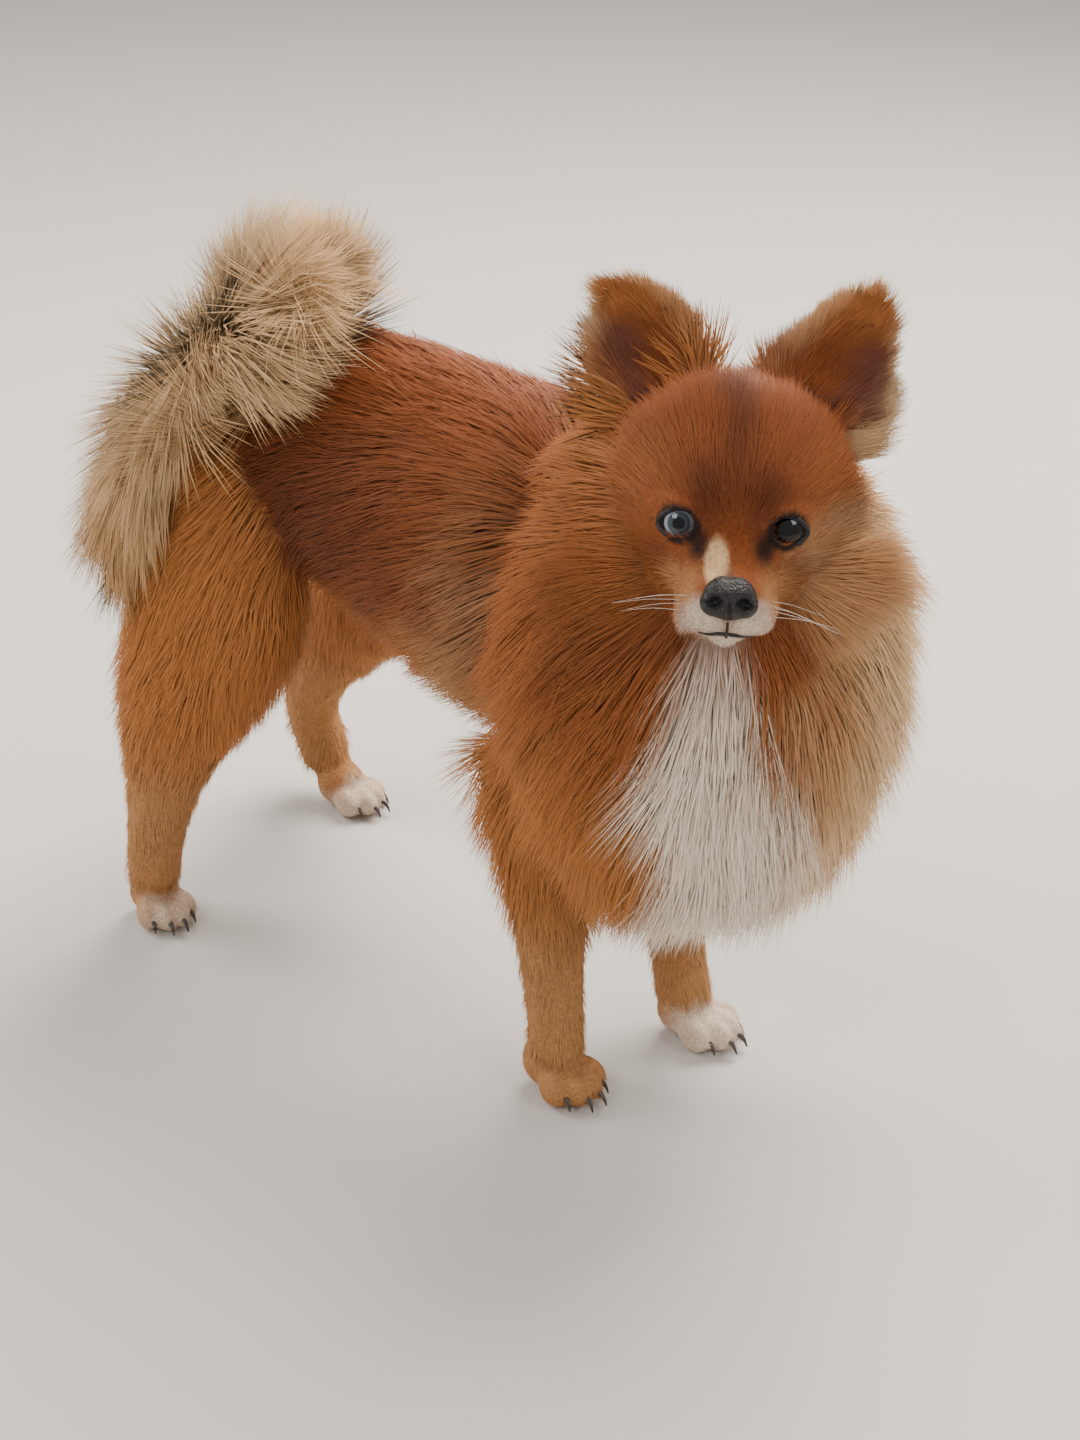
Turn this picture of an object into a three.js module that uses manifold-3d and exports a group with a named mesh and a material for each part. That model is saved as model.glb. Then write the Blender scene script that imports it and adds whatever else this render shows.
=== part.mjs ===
// A life-size pomeranian standing on four paws, its head turned to its right and raised, its tail
// curled over the right hip. Millimetres, Z up, X to the dog's left, -Y to its front.
// Each part is a closed solid: smooth forms swept along stations, and flat tapered locks where the
// coat is long. Parts meet with a small gap and rest on flats under the toes and pads.
import * as THREE from "three";
import { mergeVertices } from "three/addons/utils/BufferGeometryUtils.js";
import Module from "manifold-3d";

const wasm = await Module();
wasm.setup();

// Driving dimensions.
const GAP = 0.32; // between parts that touch
const SUNK = 5; // depth of a lock's root under the surface it grows from
const TAIL_SPLIT = -22; // X of the face between the tail's rising and falling lengths
const HOCK_SPLIT = 88; // height of the face between a thigh and its shank
const FRONT_TRACK = 30; // half the distance between the front paws
const HIND_TRACK = 57; // half the distance between the hind paws
const EYE_RADIUS = 8.6;
const EYE_SPACING = 15.6; // from the middle of the face to an eye's centre
const EYE_OPENING = [5.6, 4.9]; // half the width and height of the gap between the lids
const SOLE_SINK = 1.1; // how much of each toe and pad is flattened by the floor
const COLOURS = {
  red: 0x9a5526,
  deepRed: 0x7a3c1c,
  tan: 0xb37b48,
  cream: 0xd9b98a,
  black: 0x17161a,
};

// The head's own frame: its middle, and how far it turns right, looks up and leans.
const HEAD = {
  middle: new THREE.Vector3(-9, -157, 233),
  turn: THREE.MathUtils.degToRad(-48),
  look: THREE.MathUtils.degToRad(-11),
  lean: THREE.MathUtils.degToRad(3),
};
const headFrame = new THREE.Matrix4()
  .makeRotationFromEuler(new THREE.Euler(HEAD.look, HEAD.lean, HEAD.turn, "ZXY"))
  .setPosition(HEAD.middle);

// A repeatable random number from 0 to 1.
let seed = 7;
function random() {
  seed = (seed * 1664525 + 1013904223) % 4294967296;
  return seed / 4294967296;
}
const about = (value, share) => value * (1 + share * (2 * random() - 1));

// A three.js geometry as a solid that can be joined and cut.
function solidOf(geometry) {
  const bare = new THREE.BufferGeometry();
  bare.setAttribute("position", geometry.getAttribute("position").clone());
  bare.setIndex(geometry.index);
  const merged = mergeVertices(bare, 1e-4);
  return new wasm.Manifold(
    new wasm.Mesh({
      numProp: 3,
      vertProperties: merged.attributes.position.array,
      triVerts: new Uint32Array(merged.index.array),
    }),
  );
}

// The same, turned right side out where its faces look inwards.
function closedOf(geometry) {
  const made = solidOf(geometry);
  if (made.volume() > 0) return made;
  geometry.setIndex([...geometry.index.array].reverse());
  return solidOf(geometry);
}

// The largest closed piece of a solid, without its sealed hollows.
function largest(solid) {
  return solid.decompose().reduce((a, b) => (a.volume() > b.volume() ? a : b));
}

const joined = (solids) => solids.reduce((a, b) => a.add(b));
const without = (solid, cutters) => cutters.reduce((a, b) => a.subtract(b), solid);

// A rounded form swept along stations [x, y, z, half width, half depth]. The first and last close it.
class Form {
  constructor(stations, sides, rows, side = new THREE.Vector3(1, 0, 0)) {
    this.path = new THREE.CatmullRomCurve3(stations.map(([x, y, z]) => new THREE.Vector3(x, y, z)));
    this.sizes = new THREE.CatmullRomCurve3(stations.map((s) => new THREE.Vector3(s[3], s[4], 0)));
    this.sides = sides;
    this.rows = rows;
    this.side = side;
  }

  // The surface point at share t of the way and a turn from 0 to 1, grown outwards by grow.
  at(t, turn, grow = 0) {
    const middle = this.path.getPoint(t);
    const along = this.path.getTangent(t);
    const across = this.side.clone().addScaledVector(along, -this.side.dot(along)).normalize();
    const up = new THREE.Vector3().crossVectors(along, across);
    const size = this.sizes.getPoint(t);
    const closed = t <= 0 || t >= 1;
    const ends = closed ? (t <= 0 ? -grow : grow) : 0;
    const width = closed ? 0 : Math.max(size.x, 0.2) + grow;
    const depth = closed ? 0 : Math.max(size.y, 0.2) + grow;
    const angle = 2 * Math.PI * turn;
    return middle
      .addScaledVector(across, Math.cos(angle) * width)
      .addScaledVector(up, Math.sin(angle) * depth)
      .addScaledVector(along, ends);
  }

  normal(t, turn) {
    const step = 0.01;
    const along = this.at(Math.min(t + step, 0.995), turn).sub(this.at(Math.max(t - step, 0.005), turn));
    const round = this.at(t, turn + step).sub(this.at(t, turn - step));
    return round.cross(along).normalize();
  }

  solid(grow = 0) {
    const geometry = new THREE.SphereGeometry(1, this.sides, this.rows);
    const place = geometry.getAttribute("position");
    const uv = geometry.getAttribute("uv");
    for (let i = 0; i < place.count; i += 1) {
      const t = Math.round((1 - uv.getY(i)) * this.rows) / this.rows;
      const pole = t === 0 || t === 1;
      const turn = pole ? 0 : (Math.round(uv.getX(i) * this.sides) % this.sides) / this.sides;
      const point = this.at(t, turn, grow);
      place.setXYZ(i, point.x, point.y, point.z);
    }
    return closedOf(geometry);
  }
}

// An ellipsoid at a place, turned about X, Y and Z.
function ball([x, y, z], [rx, ry, rz], grow = 0, turn = [0, 0, 0], sides = 12, rows = 8) {
  const frame = new THREE.Matrix4().compose(
    new THREE.Vector3(x, y, z),
    new THREE.Quaternion().setFromEuler(new THREE.Euler(...turn)),
    new THREE.Vector3(rx + grow, ry + grow, rz + grow),
  );
  return solidOf(new THREE.SphereGeometry(1, sides, rows).applyMatrix4(frame));
}

// One flat, tapered lock from a root just under the surface to its tip, bent along its lie.
function lock({ root, normal, lie, length, reach, width, thick, grow = 0 }) {
  const foot = root.clone().addScaledVector(normal, -SUNK);
  const bend = root.clone().addScaledVector(normal, reach * 0.9).addScaledVector(lie, length * 0.32);
  const tip = root.clone().addScaledVector(normal, reach).addScaledVector(lie, length);
  const curve = new THREE.QuadraticBezierCurve3(foot, bend, tip);
  const rings = 2;
  const geometry = new THREE.ConeGeometry(1, 1, 4, rings);
  const place = geometry.getAttribute("position");
  for (let i = 0; i < place.count; i += 1) {
    const t = Math.round((place.getY(i) + 0.5) * rings) / rings;
    const radius = Math.hypot(place.getX(i), place.getZ(i));
    const turn = Math.atan2(place.getZ(i), place.getX(i));
    const along = curve.getTangent(t);
    const across = new THREE.Vector3().crossVectors(along, normal).normalize();
    const out = new THREE.Vector3().crossVectors(across, along);
    const share = radius < 1e-6 ? 0 : 1 - 0.5 * t;
    const wide = share * (width / 2 + grow);
    const deep = share * (thick / 2 + grow);
    const point = curve
      .getPoint(t)
      .addScaledVector(across, Math.cos(turn) * wide)
      .addScaledVector(out, Math.sin(turn) * deep)
      .addScaledVector(along, (2 * t - 1) * grow);
    place.setXYZ(i, point.x, point.y, point.z);
  }
  return closedOf(geometry);
}

// Locks in staggered rows over a form. lieAt and kept look at a root and its normal.
function coat(form, { rows, from = 0.05, to = 0.95, spacing, lieAt, kept, length, reach, width, thick }) {
  const locks = [];
  for (let row = 0; row < rows; row += 1) {
    const t = from + ((to - from) * (row + 0.5)) / rows;
    const girth = form.at(t, 0).distanceTo(form.at(t, 0.5)) + form.at(t, 0.25).distanceTo(form.at(t, 0.75));
    const count = Math.max(3, Math.round((girth * Math.PI) / 2 / spacing));
    for (let k = 0; k < count; k += 1) {
      const turn = (k + (row % 2) / 2 + 0.3 * (random() - 0.5)) / count;
      const place = Math.min(0.97, Math.max(0.03, t + (0.35 * (random() - 0.5)) / rows));
      const root = form.at(place, turn);
      const normal = form.normal(place, turn);
      const lie = lieAt(root, normal).clone();
      lie.addScaledVector(normal, -lie.dot(normal)).normalize();
      const size = about(1, 0.14);
      const one = {
        root,
        normal,
        lie,
        length: length(root) * size,
        reach: reach(root) * about(1, 0.12),
        width: about(width, 0.12),
        thick,
      };
      if (kept(root, normal)) locks.push(one);
    }
  }
  return locks;
}

const lockSolids = (locks, grow = 0) => joined(locks.map((one) => lock({ ...one, grow })));

// Trunk, neck and chest. The forms are cores, half way out to the tips of the coat.
const trunk = new Form(
  [
    [0, 108, 196, 0, 0],
    [0, 102, 196, 25, 25],
    [0, 84, 197, 40, 39],
    [0, 50, 199, 44, 43],
    [0, 10, 199, 45, 46],
    [0, -30, 194, 47, 52],
    [0, -64, 187, 48, 56],
    [0, -92, 182, 40, 48],
    [0, -100, 181, 0, 0],
  ],
  16,
  14,
);
const ruff = new Form(
  [
    [2, -126, 84, 0, 0],
    [2, -126, 90, 26, 22],
    [3, -128, 106, 44, 40],
    [5, -132, 134, 58, 52],
    [6, -134, 168, 65, 57],
    [4, -134, 202, 64, 56],
    [0, -128, 234, 50, 46],
    [-3, -120, 252, 32, 34],
    [-4, -116, 261, 0, 0],
  ],
  16,
  14,
);

// The tail rises from the croup, arches over the back and comes down over the right hip.
const TAIL_STATIONS = [
  [0, 86, 214, 0, 0],
  [0, 86, 223, 12, 12],
  [-1, 80, 240, 14, 14],
  [-8, 56, 253, 15, 15],
  [-24, 45, 251, 14.5, 14.5],
  [-39, 57, 232, 15.5, 15.5],
  [-47, 74, 209, 16, 16],
  [-52, 88, 187, 14, 14],
  [-54, 96, 170, 10, 10],
  [-55, 99, 161, 0, 0],
];
const tailSide = new THREE.Vector3(-0.78, -0.1, 0.62).normalize();
const tail = new Form(TAIL_STATIONS, 8, 16, tailSide);
const tailCurl = new THREE.Vector3(-20, 84, 222); // the hollow that the tail curls round

// Legs, from inside the trunk down to the paw. side is 1 for the left and -1 for the right.
const hindLegs = {
  right: new Form(
    [
      [-32, 60, 214, 0, 0],
      [-34, 60, 206, 16, 30],
      [-38, 60, 180, 22, 44],
      [-44, 62, 150, 23, 44],
      [-50, 70, 120, 21, 36],
      [-54, 80, 94, 18, 27],
      [-56, 89, 64, 14.5, 19],
      [-57, 95, 38, 12, 14],
      [-57, 98, 20, 11.5, 12.5],
      [-57, 99, 13, 0, 0],
    ],
    10,
    13,
  ),
  left: new Form(
    [
      [32, 60, 214, 0, 0],
      [34, 60, 206, 16, 30],
      [38, 62, 180, 22, 44],
      [44, 68, 150, 23, 44],
      [50, 84, 120, 21, 36],
      [54, 104, 92, 17, 25],
      [56, 127, 60, 13, 17],
      [57, 133, 40, 11.5, 14],
      [57, 125, 20, 11, 13],
      [57, 121, 12, 0, 0],
    ],
    10,
    13,
  ),
};
const frontLegs = {
  right: new Form(
    [
      [-31, -84, 140, 0, 0],
      [-32, -86, 132, 15, 20],
      [-32, -92, 105, 16, 19],
      [-31, -97, 78, 15, 16.5],
      [-30, -99, 48, 12.5, 13],
      [-30, -100, 30, 11.5, 12],
      [-30, -101, 16, 11.5, 12],
      [-30, -102, 10, 0, 0],
    ],
    10,
    10,
  ),
  left: new Form(
    [
      [31, -84, 140, 0, 0],
      [32, -86, 132, 15, 20],
      [32, -93, 105, 16, 19],
      [31, -99, 78, 15, 16.5],
      [30, -103, 48, 12.5, 13],
      [30, -105, 30, 11.5, 12],
      [30, -108, 16, 11.5, 12],
      [30, -110, 10, 0, 0],
    ],
    10,
    10,
  ),
};

// A paw: a heel, a pad and four toes with their claws, turned by heading about the upright.
const PAWS = {
  front_right: { at: [-FRONT_TRACK, -101], heading: -4, scale: 1 },
  front_left: { at: [FRONT_TRACK, -112], heading: 6, scale: 1 },
  hind_right: { at: [-HIND_TRACK, 97], heading: -14, scale: 0.94 },
  hind_left: { at: [HIND_TRACK, 113], heading: 8, scale: 0.94 },
};
const TOES = [
  { x: -8.6, y: -7.5, spread: -12, length: 8.5 },
  { x: -3.1, y: -12, spread: -3, length: 9.5 },
  { x: 3.1, y: -12, spread: 3, length: 9.5 },
  { x: 8.6, y: -7.5, spread: 12, length: 8.5 },
];
function pawFrame({ at, heading, scale }) {
  return new THREE.Matrix4()
    .makeRotationZ(THREE.MathUtils.degToRad(heading))
    .scale(new THREE.Vector3(scale, scale, scale))
    .setPosition(at[0], at[1], 0);
}
function paw(spec, grow = 0) {
  const heel = ball([0, 3, 11], [11.5, 11.5, 11 + SOLE_SINK], grow, [0, 0, 0], 10, 6);
  const pad = ball([0, -3, 7], [9.5, 8, 7 + SOLE_SINK], grow, [0, 0, 0], 8, 5);
  const toes = TOES.flatMap(({ x, y, spread, length }) => {
    const turn = [0, 0, THREE.MathUtils.degToRad(spread)];
    const toe = ball([x, y, 7], [4.6, length, 7 + SOLE_SINK], grow, turn, 7, 5);
    return [toe, claw(x, y - length, THREE.MathUtils.degToRad(spread), grow)];
  });
  const floor = solidOf(new THREE.BoxGeometry(80, 80, 40).translate(0, 0, -20));
  return joined([heel, pad, ...toes]).subtract(floor).transform(pawFrame(spec).elements);
}
function claw(x, y, spread, grow) {
  const curve = new THREE.QuadraticBezierCurve3(
    new THREE.Vector3(0, 4, 7),
    new THREE.Vector3(0, -2.2, 7),
    new THREE.Vector3(0, -4.2, 2),
  );
  const rings = 2;
  const geometry = new THREE.ConeGeometry(1, 1, 4, rings);
  const place = geometry.getAttribute("position");
  for (let i = 0; i < place.count; i += 1) {
    const t = Math.round((place.getY(i) + 0.5) * rings) / rings;
    const radius = Math.hypot(place.getX(i), place.getZ(i));
    const turn = Math.atan2(place.getZ(i), place.getX(i));
    const along = curve.getTangent(t);
    const across = new THREE.Vector3(1, 0, 0);
    const up = new THREE.Vector3().crossVectors(across, along);
    const size = radius < 1e-6 ? 0 : (1 - 0.75 * t) * 1.9 + grow;
    const point = curve
      .getPoint(t)
      .addScaledVector(across, Math.cos(turn) * size * 0.8)
      .addScaledVector(up, Math.sin(turn) * size);
    place.setXYZ(i, point.x, point.y, point.z);
  }
  geometry.rotateZ(spread).translate(x, y, 0);
  return closedOf(geometry);
}

// The head, in its own frame: skull and muzzle, brows, cheeks and lips, with a groove for the mouth.
const skull = new Form(
  [
    [0, 40, 6, 0, 0],
    [0, 35, 6, 20, 20],
    [0, 18, 7, 37, 39],
    [0, -4, 4, 39, 40],
    [0, -18, -2, 31, 31],
    [0, -29, -10, 20, 18],
    [0, -40, -15, 14, 12],
    [0, -49, -16, 11.5, 10],
    [0, -54, -16.5, 7, 6],
    [0, -55.5, -16.5, 0, 0],
  ],
  14,
  16,
);
const EYE = [EYE_SPACING, -22.5, 3.5]; // an eye's centre on the left side of the face
const EYE_OUTWARD = 0.12; // how far each eye looks outwards, in radians
const NOSE = [0, -54, -12.5];
function mirrored([x, y, z], side) {
  return [x * side, y, z];
}
function headCore(grow = 0) {
  const pieces = [skull.solid(grow)];
  for (const side of [1, -1]) {
    pieces.push(ball(mirrored([22, -4, -15], side), [22, 22, 20], grow, [0, 0, 0], 12, 8));
    pieces.push(ball(mirrored([7, -42, -17], side), [7.5, 12, 7.5], grow, [0, 0, 0], 10, 6));
    pieces.push(ball(mirrored([12, -22, 12], side), [10, 9, 6], grow, [0, 0, 0], 10, 6));
    pieces.push(lids(side, grow));
  }
  return joined(pieces);
}
const mouth = new Form(
  [
    [-21, -22, -24, 0, 0],
    [-20, -25, -24.5, 0.7, 3],
    [-13, -42, -25, 0.7, 4],
    [0, -54, -24, 0.7, 4],
    [13, -42, -25, 0.7, 4],
    [20, -25, -24.5, 0.7, 3],
    [21, -22, -24, 0, 0],
  ],
  4,
  16,
  new THREE.Vector3(0, 0, 1),
);
// A place in front of an eye, at a distance along its gaze.
function alongGaze(side, distance) {
  const [x, y, z] = mirrored(EYE, side);
  return [x + side * Math.sin(EYE_OUTWARD) * distance, y - Math.cos(EYE_OUTWARD) * distance, z];
}
function lids(side, grow) {
  const geometry = new THREE.TorusGeometry(1, 0.26, 5, 14);
  geometry.scale(EYE_OPENING[0] + 0.7, EYE_OPENING[1] + 0.7, 6);
  geometry.scale(1 + grow / 6, 1 + grow / 6, 1 + grow / 6);
  geometry.rotateX(Math.PI / 2).rotateZ(side * EYE_OUTWARD);
  return solidOf(geometry.translate(...alongGaze(side, 7)));
}
function lidOpening(side) {
  const [wide, high] = EYE_OPENING;
  return ball(alongGaze(side, 11), [wide, 9, high], 0, [0, 0, side * EYE_OUTWARD], 12, 8);
}
function eye(side, grow = 0) {
  return ball(mirrored(EYE, side), Array(3).fill(EYE_RADIUS), grow, [0, 0, 0], 14, 8);
}
function nose(grow = 0) {
  const pad = joined([
    ball(NOSE, [8.8, 6, 7.4], grow, [0, 0, 0], 12, 8),
    ball([4.6, NOSE[1] - 1, NOSE[2] - 1.6], [4.6, 4.6, 4.6], grow, [0, 0, 0], 8, 6),
    ball([-4.6, NOSE[1] - 1, NOSE[2] - 1.6], [4.6, 4.6, 4.6], grow, [0, 0, 0], 8, 6),
  ]);
  if (grow) return pad;
  const nostrils = [1, -1].map((side) =>
    ball([side * 4.4, NOSE[1] - 5.4, NOSE[2] - 1], [1.7, 3, 1.5], 0, [0, 0, side * 0.5], 6, 4),
  );
  const groove = solidOf(new THREE.BoxGeometry(0.7, 2.4, 8).translate(0, NOSE[1] - 6.6, NOSE[2] - 4.6));
  return without(pad, [...nostrils, groove]);
}

// An upright ear: a rounded triangle, thick at its root, with a cup hollowed in its face.
function ear(side, grow = 0) {
  const shell = new Form(
    [
      [side * 17, 10, 22, 0, 0],
      [side * 20, 10, 28, 19.5, 8],
      [side * 26, 12, 43, 20.5, 7.5],
      [side * 33, 15, 57, 16, 6],
      [side * 38.5, 17.5, 67, 9.5, 4.5],
      [side * 41, 18.5, 72, 0, 0],
    ],
    12,
    10,
  );
  const made = shell.solid(grow);
  if (grow) return made;
  const cup = new Form(
    [
      [side * 23, 2, 30, 0, 0],
      [side * 24.5, 3, 34, 11, 6],
      [side * 28, 5.5, 45, 13.5, 6],
      [side * 33, 9.5, 55, 11, 4.8],
      [side * 37, 13, 63.5, 5.5, 3],
      [side * 38.5, 14.5, 67, 0, 0],
    ],
    8,
    8,
  );
  return made.subtract(cup.solid());
}

// The lie of the long coat.
const BACKWARD = new THREE.Vector3(0, 1, 0);
const DOWN = new THREE.Vector3(0, 0, -1);
const mix = (a, b, share) => a.clone().multiplyScalar(1 - share).addScaledVector(b, share);

function ruffLocks() {
  return coat(ruff, {
    rows: 7,
    from: 0.1,
    to: 0.93,
    spacing: 30,
    length: (p) => (p.z > 200 ? 34 : THREE.MathUtils.mapLinear(p.z, 84, 200, 16, 42)),
    reach: (p) => THREE.MathUtils.mapLinear(p.z, 90, 240, 9, 17),
    width: 21,
    thick: 7,
    lieAt: (p) => {
      const share = (p.y + 175) / 120 + (p.z - 200) / 90;
      return mix(DOWN, BACKWARD, THREE.MathUtils.clamp(share, 0.05, 0.9));
    },
    kept: (p, n) => p.y < -80 || n.z > 0.3 || Math.abs(n.x) > 0.8,
  });
}
function trunkLocks() {
  return coat(trunk, {
    rows: 6,
    from: 0.08,
    to: 0.72,
    spacing: 31,
    length: () => 36,
    reach: () => 9,
    width: 22,
    thick: 6,
    lieAt: (p, n) => mix(BACKWARD, DOWN, 0.25 + 0.3 * (1 - Math.abs(n.z))),
    kept: (p, n) => n.z > -0.85,
  });
}
function tailLocks() {
  return coat(tail, {
    rows: 9,
    from: 0.08,
    to: 0.96,
    spacing: 18,
    length: () => 22,
    reach: () => 21,
    width: 22,
    thick: 8,
    lieAt: (p) => mix(p.clone().sub(tailCurl).normalize(), DOWN, p.z < 215 ? 0.6 : 0),
    kept: (p, n) => n.dot(p.clone().sub(tailCurl).normalize()) > -0.45,
  });
}
function breechLocks(side) {
  return coat(hindLegs[side], {
    rows: 4,
    from: 0.28,
    to: 0.58,
    spacing: 22,
    length: () => 26,
    reach: () => 6,
    width: 14,
    thick: 5,
    lieAt: () => mix(DOWN, BACKWARD, 0.25),
    kept: (p, n) => n.y > 0.35,
  });
}
function headLocks() {
  const form = new Form(
    [
      [0, 40, 0, 0, 0],
      [0, 34, 0, 26, 26],
      [0, 14, -2, 42, 39],
      [0, -10, -6, 42, 34],
      [0, -24, -12, 24, 22],
      [0, -27, -13, 0, 0],
    ],
    16,
    12,
  );
  const locks = coat(form, {
    rows: 4,
    from: 0.1,
    to: 0.74,
    spacing: 19,
    length: (p) => (p.z > 12 ? 16 : 25),
    reach: (p) => (p.z > 12 ? 5 : 9),
    width: 15,
    thick: 5,
    lieAt: (p) => mix(BACKWARD, DOWN, p.z > 12 ? 0 : 0.3),
    kept: (p, n) => (Math.abs(n.x) > 0.5 && p.z < 16) || (p.y > 6 && n.z > -0.3),
  });
  return locks.map((one) => ({
    ...one,
    root: one.root.clone().applyMatrix4(headFrame),
    normal: one.normal.clone().transformDirection(headFrame),
    lie: one.lie.clone().transformDirection(headFrame),
  }));
}

// Each part as its core, its locks and the space that it takes from the parts after it.
const inHead = (solid) => solid.transform(headFrame.elements);
const parts = new Map();
function addPart(name, { core, taken, locks = [], colour, roughness = 0.85 }) {
  parts.set(name, { core, taken, locks, colour, roughness });
}
// A form parted in two at a height on one axis, the first name on its higher side.
function addSplit(form, { names, axis, at, locks, colour }) {
  const up = ["x", "y", "z"].map((one) => (one === axis ? 1 : 0));
  const down = up.map((one) => -one);
  addPart(names[0], {
    core: form.solid().trimByPlane(up, at),
    taken: form.solid(GAP).trimByPlane(up, at - GAP),
    locks: locks.filter(({ root }) => root[axis] > at),
    colour,
  });
  addPart(names[1], {
    core: form.solid().trimByPlane(down, GAP - at),
    taken: form.solid(GAP).trimByPlane(down, -at),
    locks: locks.filter(({ root }) => root[axis] <= at),
    colour,
  });
}
for (const [name, side] of [["left", 1], ["right", -1]]) {
  addPart("eye_" + name, {
    core: inHead(eye(side)),
    taken: inHead(eye(side, GAP)),
    colour: COLOURS.black,
    roughness: 0.1,
  });
  addPart("ear_" + name, {
    core: inHead(ear(side)),
    taken: inHead(ear(side, GAP)),
    colour: COLOURS.red,
  });
}
addPart("nose", {
  core: inHead(nose()),
  taken: inHead(nose(GAP)),
  colour: COLOURS.black,
  roughness: 0.35,
});
addPart("head", {
  core: inHead(without(headCore(), [mouth.solid(), lidOpening(1), lidOpening(-1)])),
  taken: inHead(headCore(GAP)),
  locks: headLocks(),
  colour: COLOURS.red,
});
for (const side of ["left", "right"]) {
  addPart("front_paw_" + side, {
    core: paw(PAWS["front_" + side]),
    taken: paw(PAWS["front_" + side], GAP),
    colour: COLOURS.tan,
  });
  addPart("hind_paw_" + side, {
    core: paw(PAWS["hind_" + side]),
    taken: paw(PAWS["hind_" + side], GAP),
    colour: COLOURS.tan,
  });
}
addPart("neck_ruff", {
  core: ruff.solid(),
  taken: ruff.solid(GAP),
  locks: ruffLocks(),
  colour: COLOURS.tan,
});
addPart("torso", {
  core: trunk.solid(),
  taken: trunk.solid(GAP),
  locks: trunkLocks(),
  colour: COLOURS.deepRed,
});
for (const side of ["left", "right"]) {
  addPart("front_leg_" + side, {
    core: frontLegs[side].solid(),
    taken: frontLegs[side].solid(GAP),
    colour: COLOURS.tan,
  });
  addSplit(hindLegs[side], {
    names: ["hind_thigh_" + side, "hind_shank_" + side],
    axis: "z",
    at: HOCK_SPLIT,
    locks: breechLocks(side),
    colour: COLOURS.tan,
  });
}
addSplit(tail, {
  names: ["tail_base", "tail_plume"],
  axis: "x",
  at: TAIL_SPLIT,
  locks: tailLocks(),
  colour: COLOURS.cream,
});

// A core gives way to the cores before it, and locks to every other core and to the locks before them.
const made = new Map();
const before = [];
for (const [name, { core, locks }] of parts) {
  let solid = without(core, before.map((other) => parts.get(other).taken));
  if (locks.length) {
    const others = [...parts.keys()].filter((other) => other !== name);
    const hair = without(lockSolids(locks), others.map((other) => parts.get(other).taken));
    const grown = before.filter((other) => parts.get(other).locks.length);
    solid = solid.add(without(hair, grown.map((other) => lockSolids(parts.get(other).locks, GAP))));
  }
  made.set(name, largest(solid));
  before.push(name);
}

// The solids as named meshes, with the head's parts in the head's turned group.
function meshOf(name, solid, frame) {
  const { numProp, vertProperties, triVerts, numVert } = solid.getMesh();
  const place = new Float32Array(numVert * 3);
  for (let i = 0; i < numVert; i += 1) {
    place.set(vertProperties.subarray(i * numProp, i * numProp + 3), i * 3);
  }
  const geometry = new THREE.BufferGeometry();
  geometry.setAttribute("position", new THREE.BufferAttribute(place, 3));
  geometry.setIndex(new THREE.BufferAttribute(triVerts, 1));
  geometry.applyMatrix4(frame.clone().invert());
  geometry.computeVertexNormals();
  const { colour, roughness } = parts.get(name);
  const material = new THREE.MeshStandardMaterial({ color: colour, roughness, metalness: 0 });
  const mesh = new THREE.Mesh(geometry, material);
  mesh.name = name;
  return mesh;
}
const HEAD_PARTS = ["head", "eye_left", "eye_right", "nose", "ear_left", "ear_right"];
const dog = new THREE.Group();
const head = new THREE.Group();
head.applyMatrix4(headFrame);
dog.add(head);
for (const [name, solid] of made) {
  const inTurnedHead = HEAD_PARTS.includes(name);
  (inTurnedHead ? head : dog).add(meshOf(name, solid, inTurnedHead ? headFrame : new THREE.Matrix4()));
}

// The origin is on the floor under the middle of the dog's box.
const box = new THREE.Box3().setFromObject(dog, true);
const middle = box.getCenter(new THREE.Vector3());
dog.position.set(-middle.x, -middle.y, -box.min.z);

export default dog;
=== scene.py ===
"""Looks of a life-size pomeranian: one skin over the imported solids, a coat of fine tapered tufts that
follow its lie, eyes, nose, lips, claws and whiskers, with a studio floor, light and camera."""
import math

import bpy
import numpy as np
from mathutils import Matrix, Vector, kdtree


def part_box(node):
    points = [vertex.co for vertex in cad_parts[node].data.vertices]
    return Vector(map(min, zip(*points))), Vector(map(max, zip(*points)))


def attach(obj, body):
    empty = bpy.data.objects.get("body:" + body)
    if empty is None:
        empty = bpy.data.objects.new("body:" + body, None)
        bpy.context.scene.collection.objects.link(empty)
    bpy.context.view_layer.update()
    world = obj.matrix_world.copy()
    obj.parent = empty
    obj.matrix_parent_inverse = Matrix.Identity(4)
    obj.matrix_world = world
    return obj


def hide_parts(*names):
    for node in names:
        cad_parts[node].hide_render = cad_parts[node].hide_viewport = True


bl_info = {
    "name": "Pomeranian",
    "version": (1, 0, 0),
    "blender": (4, 5, 0),
    "location": "View3D > Sidebar > Pomeranian",
    "description": "Builds the skin, coat, face and paws of a life-size pomeranian",
    "category": "Add Mesh",
}

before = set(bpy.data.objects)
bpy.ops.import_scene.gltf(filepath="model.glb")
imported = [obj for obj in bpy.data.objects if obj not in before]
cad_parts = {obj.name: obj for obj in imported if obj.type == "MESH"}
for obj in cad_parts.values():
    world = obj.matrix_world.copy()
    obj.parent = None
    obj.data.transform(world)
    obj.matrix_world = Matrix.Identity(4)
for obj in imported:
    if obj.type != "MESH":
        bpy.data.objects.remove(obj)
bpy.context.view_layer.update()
MM = 0.001

# The dog's own frame: millimetres, the floor at 0, X to its left and -Y to its front, as in the solids.
LEFT = np.array([1.0, 0.0, 0.0])
BACK = np.array([0.0, 1.0, 0.0])
DOWN = np.array([0.0, 0.0, -1.0])
# The skin and the hair stay this far above the floor.
FLOOR_GAP = 0.3
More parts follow.
